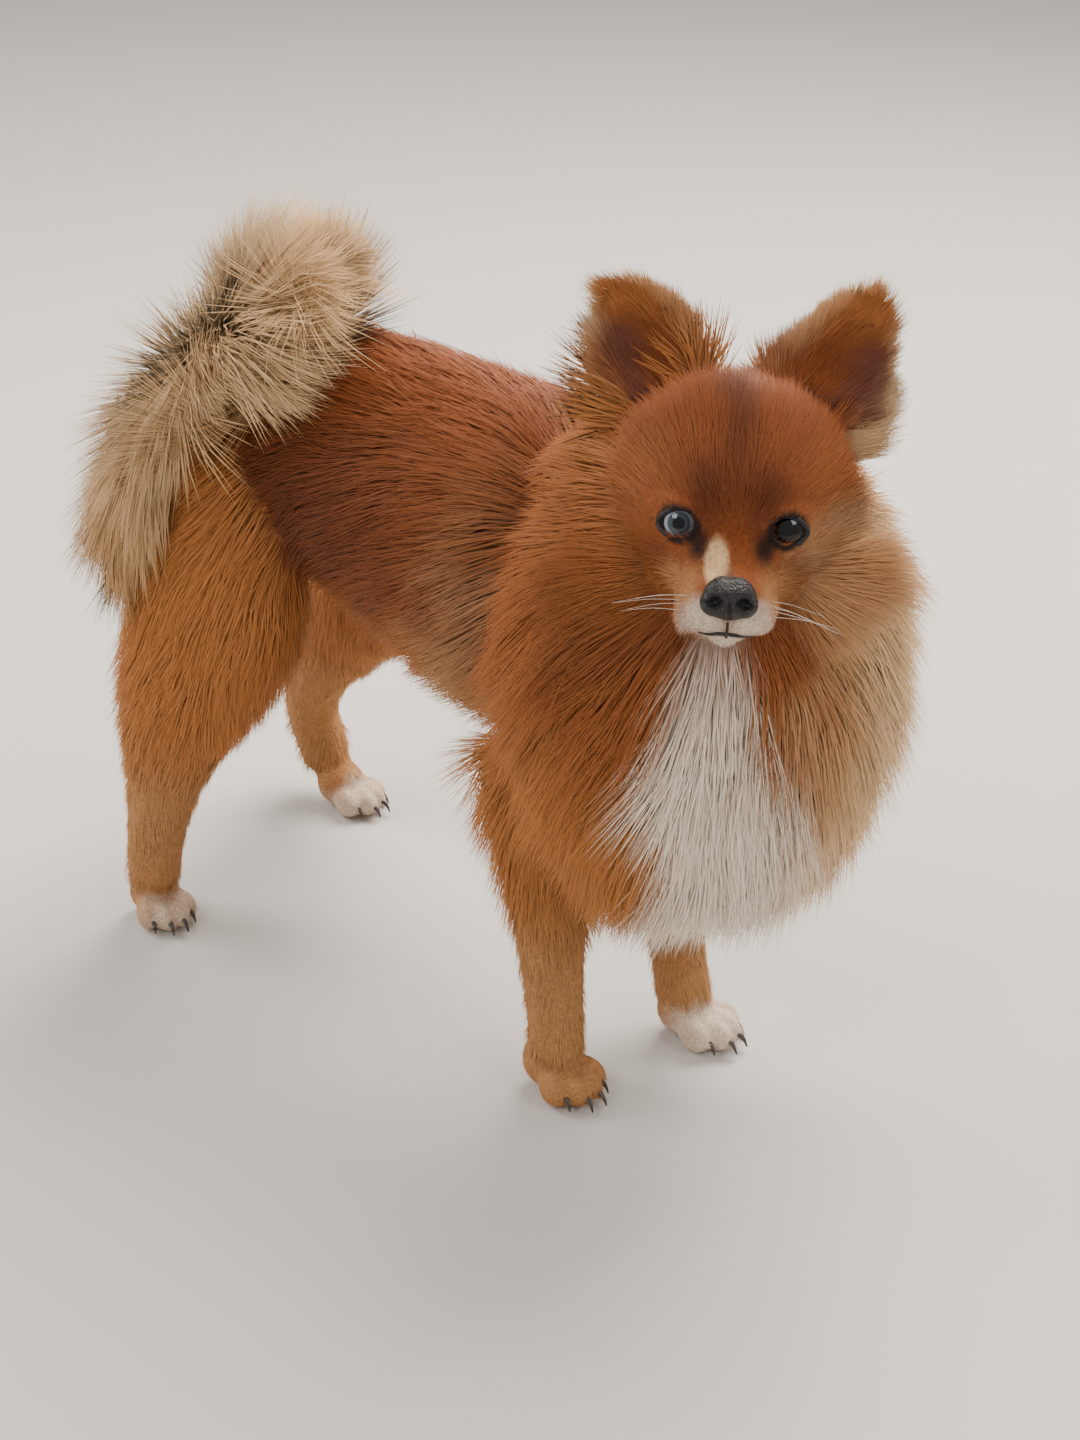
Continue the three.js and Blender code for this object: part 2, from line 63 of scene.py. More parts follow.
# The head has a frame of its own inside it, turned to the dog's right and looking up, which holds the
# left eye and the nose here. Points in the head's frame are called q.
HEAD_MIDDLE = np.array([-9.0, -157.0, 233.0])
HEAD_TURN = math.radians(-48)
HEAD_LOOK = math.radians(-11)
HEAD_LEAN = math.radians(3)
HEAD_AXES = np.array(
    Matrix.Rotation(HEAD_TURN, 3, "Z")
    @ Matrix.Rotation(HEAD_LOOK, 3, "X")
    @ Matrix.Rotation(HEAD_LEAN, 3, "Y")
)
EYE = np.array([15.6, -22.5, 3.5])
EYE_RADIUS = 8.6
EYE_OPENING = (5.3, 4.5)
NOSE = np.array([0.0, -54.0, -12.5])


def from_head(points):
    """Head coordinates as the dog's own."""
    return np.asarray(points) @ HEAD_AXES.T + HEAD_MIDDLE


def to_head(points):
    """The dog's own coordinates as the head's."""
    return (np.asarray(points) - HEAD_MIDDLE) @ HEAD_AXES


def fold(q):
    """Head coordinates with the right half laid on the left one."""
    return np.column_stack([np.abs(q[:, 0]), q[:, 1], q[:, 2]])


def turn_about_z(degrees):
    return np.array(Matrix.Rotation(math.radians(degrees), 3, "Z"))


def find_shift():
    """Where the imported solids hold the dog's origin, from the middle of its two eyes."""
    middles = [np.mean(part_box(name), axis=0) for name in ("eye_left", "eye_right")]
    return np.mean(middles, axis=0) - from_head([0, EYE[1], EYE[2]]) * MM


SHIFT = find_shift() * [1, 1, 0]


def to_world(points):
    """The dog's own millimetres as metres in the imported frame."""
    return np.asarray(points) * MM + SHIFT


def to_dog(points):
    return (np.asarray(points) - SHIFT) / MM


# Forms swept along stations: x, y, z, half width, half depth.
TRUNK = [
    (0, 108, 196, 0, 0),
    (0, 102, 196, 25, 25),
    (0, 84, 197, 40, 39),
    (0, 50, 199, 44, 43),
    (0, 10, 199, 45, 46),
    (0, -30, 194, 47, 52),
    (0, -64, 187, 48, 56),
    (0, -92, 182, 40, 48),
    (0, -100, 181, 0, 0),
]
RUFF = [
    (2, -126, 84, 0, 0),
    (2, -126, 90, 26, 22),
    (3, -128, 106, 44, 40),
    (5, -132, 134, 58, 52),
    (6, -134, 168, 65, 57),
    (4, -134, 202, 64, 56),
    (0, -128, 234, 50, 46),
    (-3, -120, 252, 32, 34),
    (-4, -116, 261, 0, 0),
]
TAIL = [
    (0, 86, 214, 0, 0),
    (0, 86, 223, 12, 12),
    (-1, 80, 240, 14, 14),
    (-8, 56, 253, 15, 15),
    (-24, 45, 251, 14.5, 14.5),
    (-39, 57, 232, 15.5, 15.5),
    (-47, 74, 209, 16, 16),
    (-52, 88, 187, 14, 14),
    (-54, 96, 170, 10, 10),
    (-55, 99, 161, 0, 0),
]
TAIL_SIDE = np.array([-0.78, -0.1, 0.62])
TAIL_CURL = np.array([-20.0, 84.0, 222.0])
HIND_RIGHT = [
    (-32, 60, 214, 0, 0),
    (-34, 60, 206, 16, 30),
    (-38, 60, 180, 22, 44),
    (-44, 62, 150, 23, 44),
    (-50, 70, 120, 21, 36),
    (-54, 80, 94, 18, 27),
    (-56, 89, 64, 14.5, 19),
    (-57, 95, 38, 12, 14),
    (-57, 98, 20, 11.5, 12.5),
    (-57, 99, 6, 0, 0),
]
HIND_LEFT = [
    (32, 60, 214, 0, 0),
    (34, 60, 206, 16, 30),
    (38, 62, 180, 22, 44),
    (44, 68, 150, 23, 44),
    (50, 84, 120, 21, 36),
    (54, 104, 92, 17, 25),
    (56, 127, 60, 13, 17),
    (57, 133, 40, 11.5, 14),
    (57, 125, 20, 11, 13),
    (57, 121, 6, 0, 0),
]
FRONT_RIGHT = [
    (-31, -84, 140, 0, 0),
    (-32, -86, 132, 15, 20),
    (-32, -92, 105, 16, 19),
    (-31, -97, 78, 15, 16.5),
    (-30, -99, 48, 12.5, 13),
    (-30, -100, 30, 11.5, 12),
    (-30, -101, 16, 11.5, 12),
    (-30, -102, 5, 0, 0),
]
FRONT_LEFT = [
    (31, -84, 140, 0, 0),
    (32, -86, 132, 15, 20),
    (32, -93, 105, 16, 19),
    (31, -99, 78, 15, 16.5),
    (30, -103, 48, 12.5, 13),
    (30, -105, 30, 11.5, 12),
    (30, -108, 16, 11.5, 12),
    (30, -110, 5, 0, 0),
]
SKULL = [
    (0, 40, 4, 0, 0),
    (0, 35, 4, 18, 18),
    (0, 18, 5, 33, 34),
    (0, -4, 3, 35, 35),
    (0, -18, -3, 28, 27.5),
    (0, -29, -11, 18.5, 16.5),
    (0, -40, -15, 13, 11),
    (0, -49, -16, 10.5, 9),
    (0, -54, -16.5, 7, 6),
    (0, -56, -16.5, 0, 0),
]
EAR = [
    (17, 10, 20, 0, 0),
    (20.5, 10, 26, 17.5, 6.5),
    (26.5, 12, 42, 18, 5.5),
    (33, 15, 56, 13.5, 4.2),
    (38.3, 17.5, 65.5, 7.5, 3),
    (40.5, 18.5, 70, 0, 0),
]
EAR_CUP = [
    (23.5, 2, 31, 0, 0),
    (25, 3, 35, 10, 6.5),
    (28.5, 5.5, 45, 12, 6),
    (33.5, 9.5, 54.5, 9.5, 4.6),
    (37.5, 13, 62, 4.5, 2.8),
    (38.8, 14.5, 65.5, 0, 0),
]
MOUTH_SIDE = [
    (3, -52.5, -28.2),
    (9, -47, -28.6),
    (15, -37, -26.2),
    (20, -27, -22.5),
]
MOUTH = [*((-x, y, z) for x, y, z in reversed(MOUTH_SIDE)), (0, -53.5, -27.6), *MOUTH_SIDE]

# The middle line of the white bib and its half width.
BIB = [
    (-42, -184, 212, 12),
    (-38, -184, 196, 16),
    (-34, -184, 174, 20),
    (-26, -184, 148, 25),
    (-14, -178, 118, 31),
    (-6, -152, 88, 38),
]

# Each paw: its place on the floor, its heading in degrees and its scale. In a paw's frame, each toe's
# place, its spread in degrees and its half length, and the bend of a claw.
PAWS = {
    "front_right": (-30, -101, -4, 1.0),
    "front_left": (30, -112, 6, 1.0),
    "hind_right": (-57, 97, -14, 0.94),
    "hind_left": (57, 113, 8, 0.94),
}
TOES = [(-8.6, -7.5, -12, 8.5), (-3.1, -12, -3, 9.5), (3.1, -12, 3, 9.5), (8.6, -7.5, 12, 8.5)]
CLAW = [(0, 3.4, 6.2), (0, 0.2, 6.2), (0, -1.8, 4.4), (0, -2.8, 2.2)]


def catmull_rom(points, shares):
    """Points on a centripetal Catmull-Rom curve through the given points."""
    points = np.asarray(points, float)
    padded = np.vstack([2 * points[0] - points[1], points, 2 * points[-1] - points[-2]])
    place = np.clip(np.asarray(shares, float), 0, 1) * (len(points) - 1)
    k = np.minimum(place.astype(int), len(points) - 2)
    w = (place - k)[:, None]
    a, b, c, d = (padded[k + i] for i in range(4))
    step = [np.sqrt(np.linalg.norm(q - p, axis=1))[:, None] for p, q in ((a, b), (b, c), (c, d))]
    step[1] = np.where(step[1] < 1e-4, 1, step[1])
    step[0] = np.where(step[0] < 1e-4, step[1], step[0])
    step[2] = np.where(step[2] < 1e-4, step[1], step[2])
    m0 = ((b - a) / step[0] - (c - a) / (step[0] + step[1]) + (c - b) / step[1]) * step[1]
    m1 = ((c - b) / step[1] - (d - b) / (step[1] + step[2]) + (d - c) / step[2]) * step[1]
    cubic = 2 * b - 2 * c + m0 + m1
    square = -3 * b + 3 * c - 2 * m0 - m1
    return ((cubic * w + square) * w + m0) * w + b


def unit(vectors):
    vectors = np.asarray(vectors, float)
    return vectors / np.maximum(np.linalg.norm(vectors, axis=-1, keepdims=True), 1e-9)


def smooth(low, high, values):
    """A smooth step from 0 at low to 1 at high."""
    t = np.clip((np.asarray(values, float) - low) / (high - low), 0, 1)
    return t * t * (3 - 2 * t)


class Form:
    """A rounded form swept along stations."""

    STEP = 0.004
    LEAST_SIZE = 0.2
    LEAST_REACH = 5

    def __init__(self, stations, side=LEFT, scale=1.0, in_head=False):
        stations = np.asarray(stations, float)
        self.centres = stations[:, :3]
        self.sizes = stations[:, 3:] * scale
        self.side = unit(side)
        self.in_head = in_head

    def rings(self, shares):
        """Centres, sideways and upward half axes, and directions at the given shares."""
        middle = catmull_rom(self.centres, shares)
        before = catmull_rom(self.centres, shares - self.STEP)
        along = unit(catmull_rom(self.centres, shares + self.STEP) - before)
        across = unit(self.side - along * (along @ self.side)[:, None])
        size = np.maximum(catmull_rom(self.sizes, shares), self.LEAST_SIZE)
        up = np.cross(along, across)
        return middle, across * size[:, :1], up * size[:, 1:], along

    def surface(self, shares, turns):
        """Points on the form at shares of its length and of a turn round it."""
        middle, across, up, _ = self.rings(shares)
        closed = (shares <= 0) | (shares >= 1)
        angle = 2 * np.pi * turns[:, None]
        ring = across * np.cos(angle) + up * np.sin(angle)
        points = middle + np.where(closed[:, None], 0, ring)
        return from_head(points) if self.in_head else points

    def nearness(self, points):
        """How far points are from the form's middle line, as a share of its size there."""
        points = to_head(points) if self.in_head else points
        middle, across, up, along = self.rings(np.linspace(0.04, 0.96, 36))
        best = np.full(len(points), 1e9)
        for m, a, u, t in zip(middle, across, up, along):
            gap = points - m
            side, high = np.linalg.norm(a), np.linalg.norm(u)
            wide, deep = max(side, self.LEAST_REACH), max(high, self.LEAST_REACH)
            share = np.hypot(gap @ a / (side * wide), gap @ u / (high * deep))
            best = np.minimum(best, np.hypot(share, (gap @ t) / (0.5 * (wide + deep)) * 0.9))
        return best


def mirrored(stations):
    """Stations of the other side."""
    return [(-x, *rest) for x, *rest in stations]


FORMS = {
    "trunk": Form(TRUNK, scale=0.96),
    "ruff": Form(RUFF, scale=0.95),
    "tail": Form(TAIL, TAIL_SIDE, 0.8),
    "hind_right": Form(HIND_RIGHT, scale=0.87),
    "hind_left": Form(HIND_LEFT, scale=0.87),
    "front_right": Form(FRONT_RIGHT, scale=0.86),
    "front_left": Form(FRONT_LEFT, scale=0.86),
    "head": Form(SKULL, in_head=True),
    "ear_left": Form(EAR, in_head=True),
    "ear_right": Form(mirrored(EAR), in_head=True),
}


# Small helpers around bpy.
def deselect():
    bpy.ops.object.select_all(action="DESELECT")


def select_only(piece):
    deselect()
    piece.select_set(True)
    bpy.context.view_layer.objects.active = piece


def edited(piece, step, **options):
    """Runs one editing step on a whole piece."""
    select_only(piece)
    bpy.ops.object.mode_set(mode="EDIT")
    bpy.ops.mesh.select_all(action="SELECT")
    step(**options)
    bpy.ops.object.mode_set(mode="OBJECT")
    deselect()


def numbers_of(items, field, width, kind=float):
    """A field of a mesh's items as rows of numbers."""
    flat = np.empty(len(items) * width, kind)
    items.foreach_get(field, flat)
    return flat.reshape(-1, width)


def points_of(piece):
    return numbers_of(piece.data.vertices, "co", 3)


def set_points(piece, points):
    piece.data.vertices.foreach_set("co", np.asarray(points, float).ravel())
    piece.data.update()


def apply_modifier(piece, kind, **options):
    bpy.context.view_layer.objects.active = piece
    modifier = piece.modifiers.new(kind.lower(), kind)
    for name, value in options.items():
        setattr(modifier, name, value)
    bpy.ops.object.modifier_apply(modifier=modifier.name)


def join(pieces, name):
    deselect()
    for piece in pieces:
        piece.select_set(True)
    bpy.context.view_layer.objects.active = pieces[0]
    if len(pieces) > 1:
        bpy.ops.object.join()
    joined = bpy.context.active_object
    joined.name = joined.data.name = name
    deselect()
    return joined


def settle(piece, name, material, slot, replaced=()):
    """Names a finished piece, gives it its material and ties it to the frame."""
    piece.name = piece.data.name = name
    piece.data.materials.clear()
    piece.data.materials.append(material)
    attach(piece, "root")
    if replaced:
        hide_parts(*replaced)
    return piece


def swept(form, segments, rings):
    """A sphere reshaped to a swept form, in dog millimetres."""
    deselect()
    bpy.ops.mesh.primitive_uv_sphere_add(segments=segments, ring_count=rings, radius=1)
    piece = bpy.context.active_object
    points = points_of(piece)
    shares = np.round(np.arccos(np.clip(points[:, 2], -1, 1)) / np.pi * rings) / rings
    turns = np.arctan2(points[:, 1], points[:, 0]) / (2 * np.pi)
    set_points(piece, form.surface(shares, turns))
    return piece


def ball(centre, radii, heading=0, in_head=False, segments=24, rings=16):
    """An ellipsoid, in dog millimetres, turned to a heading in degrees."""
    deselect()
    bpy.ops.mesh.primitive_uv_sphere_add(segments=segments, ring_count=rings, radius=1)
    piece = bpy.context.active_object
    points = (points_of(piece) * radii) @ turn_about_z(heading).T + centre
    set_points(piece, from_head(points) if in_head else points)
    return piece


def outward(piece):
    """Turns every face outwards."""
    edited(piece, bpy.ops.mesh.normals_make_consistent, inside=False)


def smooth_shade(piece):
    select_only(piece)
    bpy.ops.object.shade_smooth()
    deselect()


def tube(path, radii, sides):
    """A closed tube along a path, reshaped from a sphere."""
    deselect()
    steps = len(path)
    bpy.ops.mesh.primitive_uv_sphere_add(segments=sides, ring_count=steps + 1, radius=1)
    piece = bpy.context.active_object
    points = points_of(piece)
    row = np.round(np.arccos(np.clip(points[:, 2], -1, 1)) / np.pi * (steps + 1)).astype(int)
    pole = (row == 0) | (row == steps + 1)
    row = np.clip(row - 1, 0, steps - 1)
    turn = np.arctan2(points[:, 1], points[:, 0])
    along = unit(np.gradient(path, axis=0))
    guide = np.where(np.abs(along[:, 2:]) > 0.9, [[1.0, 0, 0]], [[0, 0, 1.0]])
    across = unit(np.cross(along, guide))
    up = np.cross(across, along)
    ring = across[row] * np.cos(turn)[:, None] + up[row] * np.sin(turn)[:, None]
    set_points(piece, path[row] + np.where(pole, 0, radii[row])[:, None] * ring)
    outward(piece)
    return piece


def add_values(mesh, name, values):
    """One number for each vertex, for the materials."""
    mesh.attributes.new(name, "FLOAT", "POINT").data.foreach_set("value", values)


def add_colours(mesh, colours):
    """One colour for each vertex, for the materials."""
    layer = mesh.attributes.new("coat_colour", "FLOAT_COLOR", "POINT")
    layer.data.foreach_set("color", np.column_stack([colours, np.ones(len(colours))]).ravel())


def paw_points(paw, points):
    """Points in a paw's frame as the dog's own."""
    x, y, heading, scale = PAWS[paw]
    return np.asarray(points) * scale @ turn_about_z(heading).T + [x, y, 0]


def paw_shapes():
    """Heel, pad and toes in a paw's frame: centre, radii and turn in degrees."""
    yield (0, 3, 11), (10.6, 10.6, 10.6), 0
    yield (0, -3, 6.4), (8.6, 7.4, 6.6), 0
    for x, y, spread, length in TOES:
        yield (x, y, 6.4), (4.1, length - 0.8, 6.4), spread


# Shader maths as Python expressions.
class Socket:
    """A shader value that adds its nodes as expressions use it."""

    def __init__(self, shader, socket):
        self.shader = shader
        self.socket = socket

    def _maths(self, operation, *values):
        return self.shader.node("ShaderNodeMath", {"operation": operation}, *values)

    def __add__(self, other):
        return self._maths("ADD", self, other)

    def __mul__(self, other):
        return self._maths("MULTIPLY", self, other)

    def __pow__(self, other):
        return self._maths("POWER", self, other)

    __radd__ = __add__
    __rmul__ = __mul__


class Shader:
    """A new material with one Principled surface."""

    def __init__(self, name, **constants):
        self.material = bpy.data.materials.new(name)
        self.material.use_nodes = True
        self.tree = self.material.node_tree
        self.surface = self.tree.nodes["Principled BSDF"]
        for socket, value in constants.items():
            self.surface.inputs[socket.replace("_", " ")].default_value = value

    def node(self, kind, options=None, *values, output=0, **named):
        """A new node: its type, its options, and the values or links of its sockets."""
        made = self.tree.nodes.new(kind)
        for name, value in (options or {}).items():
            setattr(made, name, value)
        for key, value in [*enumerate(values), *named.items()]:
            target = made.inputs[key.replace("_", " ") if isinstance(key, str) else key]
            self.link(value, target)
        return Socket(self, made.outputs[output])

    def link(self, value, target):
        if isinstance(value, Socket):
            self.tree.links.new(value.socket, target)
        else:
            target.default_value = value

    def set(self, socket, value):
        self.link(value, self.surface.inputs[socket])

    def place(self):
        return self.node("ShaderNodeTexCoord", output="Object")

    def attribute(self, name, output="Fac"):
        return self.node("ShaderNodeAttribute", {"attribute_name": name}, output=output)

    def noise(self, scale, detail):
        return self.node("ShaderNodeTexNoise", Vector=self.place(), Scale=scale, Detail=detail)

    def ranged(self, value, low, high, new_low=0.0, new_high=1.0):
        """A value between two limits, moved to between two others."""
        limits = {"From_Min": low, "From_Max": high, "To_Min": new_low, "To_Max": new_high}
        return self.node("ShaderNodeMapRange", Value=value, **limits)

    def scaled(self, colour, factor):
        return self.node("ShaderNodeVectorMath", {"operation": "SCALE"}, colour, Scale=factor)

    def mix(self, share, first, second, blend="MIX"):
        """Colours mixed by a share."""
        made = self.tree.nodes.new("ShaderNodeMix")
        made.data_type = "RGBA"
        made.blend_type = blend
        self.link(share, made.inputs[0])
        self.link(first, made.inputs[6])
        self.link(second, made.inputs[7])
        return Socket(self, made.outputs[2])

    def bump(self, height, distance, strength):
        self.set("Normal", self.node("ShaderNodeBump", Height=height, Distance=distance, Strength=strength))


def rgba(colour):
    return (*colour[:3], 1.0)


def colour_property(name, description, value):
    return bpy.props.FloatVectorProperty(
        name=name, description=description, default=value, subtype="COLOR", size=3, min=0, max=1
    )


class PomeranianSettings(bpy.types.PropertyGroup):
    """Colours of the coat and how densely it grows"""

    red: colour_property("Red", "Copper red of the face and back", (0.27, 0.072, 0.017))
    mahogany: colour_property("Mahogany", "Dark stripe, brows and saddle", (0.095, 0.024, 0.009))
    orange: colour_property("Orange", "Orange of the thighs, shoulders and cheeks", (0.5, 0.185, 0.048))
    tan: colour_property("Tan", "Pale tan of the lower legs and tail", (0.58, 0.31, 0.13))
    # The cream on the edges of the ruff and cheeks is painted rim light, and on the tail's top it is partly
    # a painted highlight.
    cream: colour_property("Cream", "Cream of the tail and the ruff's edge", (0.86, 0.58, 0.31))
    white: colour_property("White", "White of the bib, muzzle and toes", (0.95, 0.81, 0.66))
    sable: colour_property("Sable", "Grey-brown of the tail's spot and above the nose", (0.12, 0.085, 0.065))
    # Black also paints the shadow patch under the ruff's right side, a painted shadow.
    black: colour_property("Black", "Nose, lips and eye rims", (0.006, 0.0055, 0.006))
    ear_skin: colour_property("Ear skin", "Bare skin inside the ears", (0.12, 0.045, 0.04))
    tuft_share: bpy.props.FloatProperty(
        name="Tuft share",
        description="Share of the coat's full number of tufts",
        default=1.0,
        min=0.05,
        max=1,
    )


def settings():
    return bpy.context.scene.pomeranian


def wave(points, scale, seed):
    """Smooth noise from about -1 to 1 at points, from a few seeded waves."""
    draw = np.random.default_rng(seed)
    total = np.zeros(len(points))
    for _ in range(6):
        direction = unit(draw.normal(size=3)) * draw.uniform(0.6, 1.5) / scale
        total += np.sin(points @ direction * 2 * np.pi + draw.uniform(0, 6.3))
    return total / 3


def near(points, centre, radii, soft=0.45, warp=0.0, seed=1):
    """A soft ellipsoid mask: 1 inside, 0 outside, with a wavy edge."""
    gap = np.linalg.norm((points - np.asarray(centre, float)) / np.asarray(radii, float), axis=1)
    if warp:
        gap = gap + warp * wave(points, 14, seed)
    return 1 - smooth(1 - soft, 1 + soft, gap)


def paint(colours, mask, colour):
    return colours + (np.asarray(colour) - colours) * mask[:, None]


# Patches of colour: the colour and its strength, the middle and half sizes in mm, how soft and how wavy
# the edge is, and the waves' seed. Those of the cheeks and brows lie on both sides of the face.
RUFF_SHADOW_AND_PATCH = (
    # The black patch is a painted shadow between the bottom of the ruff and the right front leg.
    ("black", 0.9, (-64, -130, 188), (7, 9, 13), 0.6, 0.1, 10),
    ("mahogany", 0.7, (-57, -158, 216), (13, 14, 12), 0.7, 0.1, 15),
)
TOE_PATCHES = (
    ("white", 0.9, (31, -124, 4), (20, 20, 13), 0.4, 0.15, 12),
    ("white", 0.8, (57, 100, 3), (19, 16, 12), 0.4, 0.15, 13),
    ("white", 0.6, (-57, 84, 3), (18, 15, 11), 0.4, 0.15, 14),
)
CHEEK_AND_BROW_PATCHES = (
    ("orange", 0.45, (34, -8, -14), (20, 26, 22), 0.5, 0.1, 21),
    ("mahogany", 0.8, (0, -16, 28), (4.5, 26, 26), 0.8, 0.12, 22),
    ("mahogany", 0.8, (7, -30, 9), (5, 9, 7), 0.6),
    ("orange", 0.3, (20, -22, 15), (9, 9, 4.5), 0.6),
    ("mahogany", 0.55, (29, -14, 4), (7, 9, 4), 0.6),
    ("mahogany", 0.4, (16, -30, -7), (7, 7, 3), 0.6),
    ("black", 0.9, (9.5, -34, -2), (3.5, 6, 6), 0.5),
    ("tan", 0.5, (13, -40, -15), (7, 9, 8), 0.6),
    ("white", 0.8, (6, -49, -20), (7, 9, 6), 0.5),
)
MUZZLE_PATCHES = (
    ("cream", 0.8, (-4.5, -43, -5), (3.6, 12, 8), 0.2),
    ("sable", 0.5, (-1, -49, -7), (2.5, 5, 2.5), 0.5),
    ("white", 0.9, (0, -42, -31), (11, 15, 6.5), 0.5),
    ("mahogany", 0.6, (-34, -12, -22), (10, 16, 12), 0.6, 0.1, 24),
)


def plain(points, colour):
    """One colour at every point."""
    return np.tile(np.asarray(colour), (len(points), 1))


def patched(colours, points, patches, share=1.0):
    """Colours with soft patches painted over them in order."""
    for colour, strength, *patch in patches:
        colours = paint(colours, near(points, *patch) * strength * share, getattr(settings(), colour))
    return colours


def markings(points, regions):
    """The coat's colour at points of the skin, with the weights of the forms there."""
    q = to_head(points)
    legs = sum(regions[name] for name in PAWS)
    colours = body_colours(points, regions, legs)
    colours = paint(colours, regions["tail"], tail_colours(points))
    colours = paint(colours, legs, leg_colours(points))
    colours = paint(colours, regions["head"], face_colours(points, q))
    return paint(colours, regions["ear_left"] + regions["ear_right"], ear_colours(q))


def body_colours(points, regions, legs):
    """A dark saddle on an orange-brown back, a paler belly, and an orange ruff with a white bib, painted rim
    light along its front-left edge and a painted shadow patch under its right side.
    """
    hues = settings()
    y, z = points.T[1:]
    head = regions["head"] + regions["ear_left"] + regions["ear_right"]
    ripple = wave(points, 22, 5)
    colours = paint(plain(points, hues.orange), smooth(150, 190, z + 6 * ripple), hues.red)
    colours = paint(colours, 0.85 * near(points, (0, 4, 200), (70, 74, 34), 0.6, 0.2, 3), hues.mahogany)
    colours = paint(colours, 0.5 * smooth(234, 250, z + 5 * ripple) * (1 - head), hues.red)
    colours = paint(colours, smooth(152, 122, z + 6 * ripple) * (1 - legs) * 0.7, hues.tan)

    # A paler band with dark tips lies behind the ruff.
    band = near(points, (0, -84, 172), (90, 14, 40), 0.7, 0.25, 4) * (1 - head)
    colours = paint(colours, 0.3 * band, hues.cream)
    colours = paint(colours, 0.3 * band * smooth(0.1, 0.8, wave(points, 16, 8)), hues.mahogany)

    ruff = regions["ruff"]
    colours = paint(colours, ruff * smooth(-100, -130, y) * 0.9, hues.orange)
    shoulder = near(points, (-20, -160, 214), (46, 60, 44), 0.5, 0.1, 6)
    colours = paint(colours, ruff * shoulder * 0.8, hues.red)
    colours = paint(colours, bib_share(points) * (1 - head * 0.6), hues.white)
    # Painted rim light: cream along the ruff's front-left edge.
    colours = paint(colours, ruff * painted_rim_light(points) * smooth(248, 226, z) * 0.9, hues.cream)
    # The ruff's patches, with the painted shadow under its right side.
    return patched(colours, points, RUFF_SHADOW_AND_PATCH, ruff)


def tail_colours(points):
    """Cream on top and tan below, the lighter top partly a painted highlight, with a dark spot near the
    root.
    """
    hues = settings()
    # Partly painted highlight: the top stays cream, and lower down more tan is mixed in.
    colours = paint(plain(points, hues.cream), 0.25 + 0.5 * smooth(232, 186, points[:, 2]), hues.tan)
    return paint(colours, near(points, (-34, 96, 232), (12, 12, 11), 0.6, 0.1, 11) * 0.55, hues.sable)


def leg_colours(points):
    """Golden orange thighs with paler backs, tan below, with white toes on three paws."""
    hues = settings()
    y, z = points.T[1:]
    colours = paint(plain(points, hues.orange), smooth(110, 50, z) * 0.6, hues.tan)
    colours = paint(colours, smooth(86, 112, y) * smooth(110, 160, z) * 0.6, hues.cream)
    return patched(colours, points, TOE_PATCHES)


def face_colours(points, q):
    """Copper red with a dark stripe up the forehead, dark brows and tear patches, a cream blaze on the right
    of the nose's bridge, a white muzzle and chin, and painted rim light in cream along the cheek's edge."""
    hues = settings()
    folded = fold(q)
    colours = patched(plain(points, hues.red), folded, CHEEK_AND_BROW_PATCHES)
    colours = patched(colours, q, MUZZLE_PATCHES)
    colours = paint(colours, smooth(34, 50, folded[:, 0]) * smooth(10, -10, q[:, 2]) * 0.4, hues.orange)
    # Painted rim light: cream along the cheek's edge.
    return paint(colours, painted_rim_light(points) * smooth(14, -6, q[:, 2]) * 0.8, hues.cream)


def ear_colours(q):
    """Red with a golden upper third, a pale fringe at the outer edge and bare skin in the cup."""
    hues = settings()
    folded = fold(q)
    outer = ear_edge(folded)
    colours = paint(plain(q, hues.red), smooth(48, 62, q[:, 2]) * 0.7, hues.orange)
    colours = paint(colours, smooth(0.45, 0.8, outer) * 0.9, hues.cream)
    colours = paint(colours, smooth(0.7, 1.0, -outer) * 0.3, hues.cream)
    bare_skin = near(folded, (33, 4, 40), (8, 14, 13), 0.5, 0.15, 26) * cup_share(q)
    colours = paint(colours, bare_skin * 0.65, hues.ear_skin)
    return paint(colours, smooth(64, 70, q[:, 2]) * 0.5, hues.cream)


def painted_rim_light(points):
    """1 on the painted rim light of the ruff and cheek, at the front and left of the neck, where the light
    from behind the dog catches the coat's edge.
    """
    forward_left = 0.708 * points[:, 0] - 0.706 * points[:, 1]
    return smooth(116, 146, forward_left + 5 * wave(points, 22, 5))


def bib_share(points):
    """1 on the white bib, which widens from the chin to the bottom of the chest."""
    line = catmull_rom(BIB, np.linspace(0, 1, 24))
    share = np.min([np.linalg.norm(points - p, axis=1) / half for *p, half in line], axis=0)
    return 1 - smooth(0.75, 1.15, share + 0.1 * wave(points, 14, 7))


# How soft the borders between the forms are, as a share of a form's size.
BORDER = 0.09


def region_weights(points):
    """How much each form owns each point, from 0 to 1. The ruff owns nothing near the floor."""
    near_by = {name: form.nearness(points) for name, form in FORMS.items()}
    near_by["head"] = np.minimum(near_by["head"], cheek_nearness(points))
    near_by["ruff"] = near_by["ruff"] + 9 * smooth(60, 30, points[:, 2])
    closest = np.min(list(near_by.values()), axis=0)
    weights = {name: np.exp(-(value - closest) / BORDER) for name, value in near_by.items()}
    total = sum(weights.values())
    return {name: value / total for name, value in weights.items()}


def cheek_nearness(points):
    """Distance from the middle of the nearer cheek, as a share of its size."""
    return np.linalg.norm((fold(to_head(points)) - [20, -4, -14]) / 22, axis=1)


def ear_edge(folded):
    """From -1 at an ear's inner edge to 1 at its outer edge, at folded head coordinates."""
    half = np.interp(folded[:, 2], [26, 42, 56, 65.5, 70], [17.5, 18, 13.5, 7.5, 4])
    return (folded[:, 0] - 20 - 0.47 * (folded[:, 2] - 28)) / half


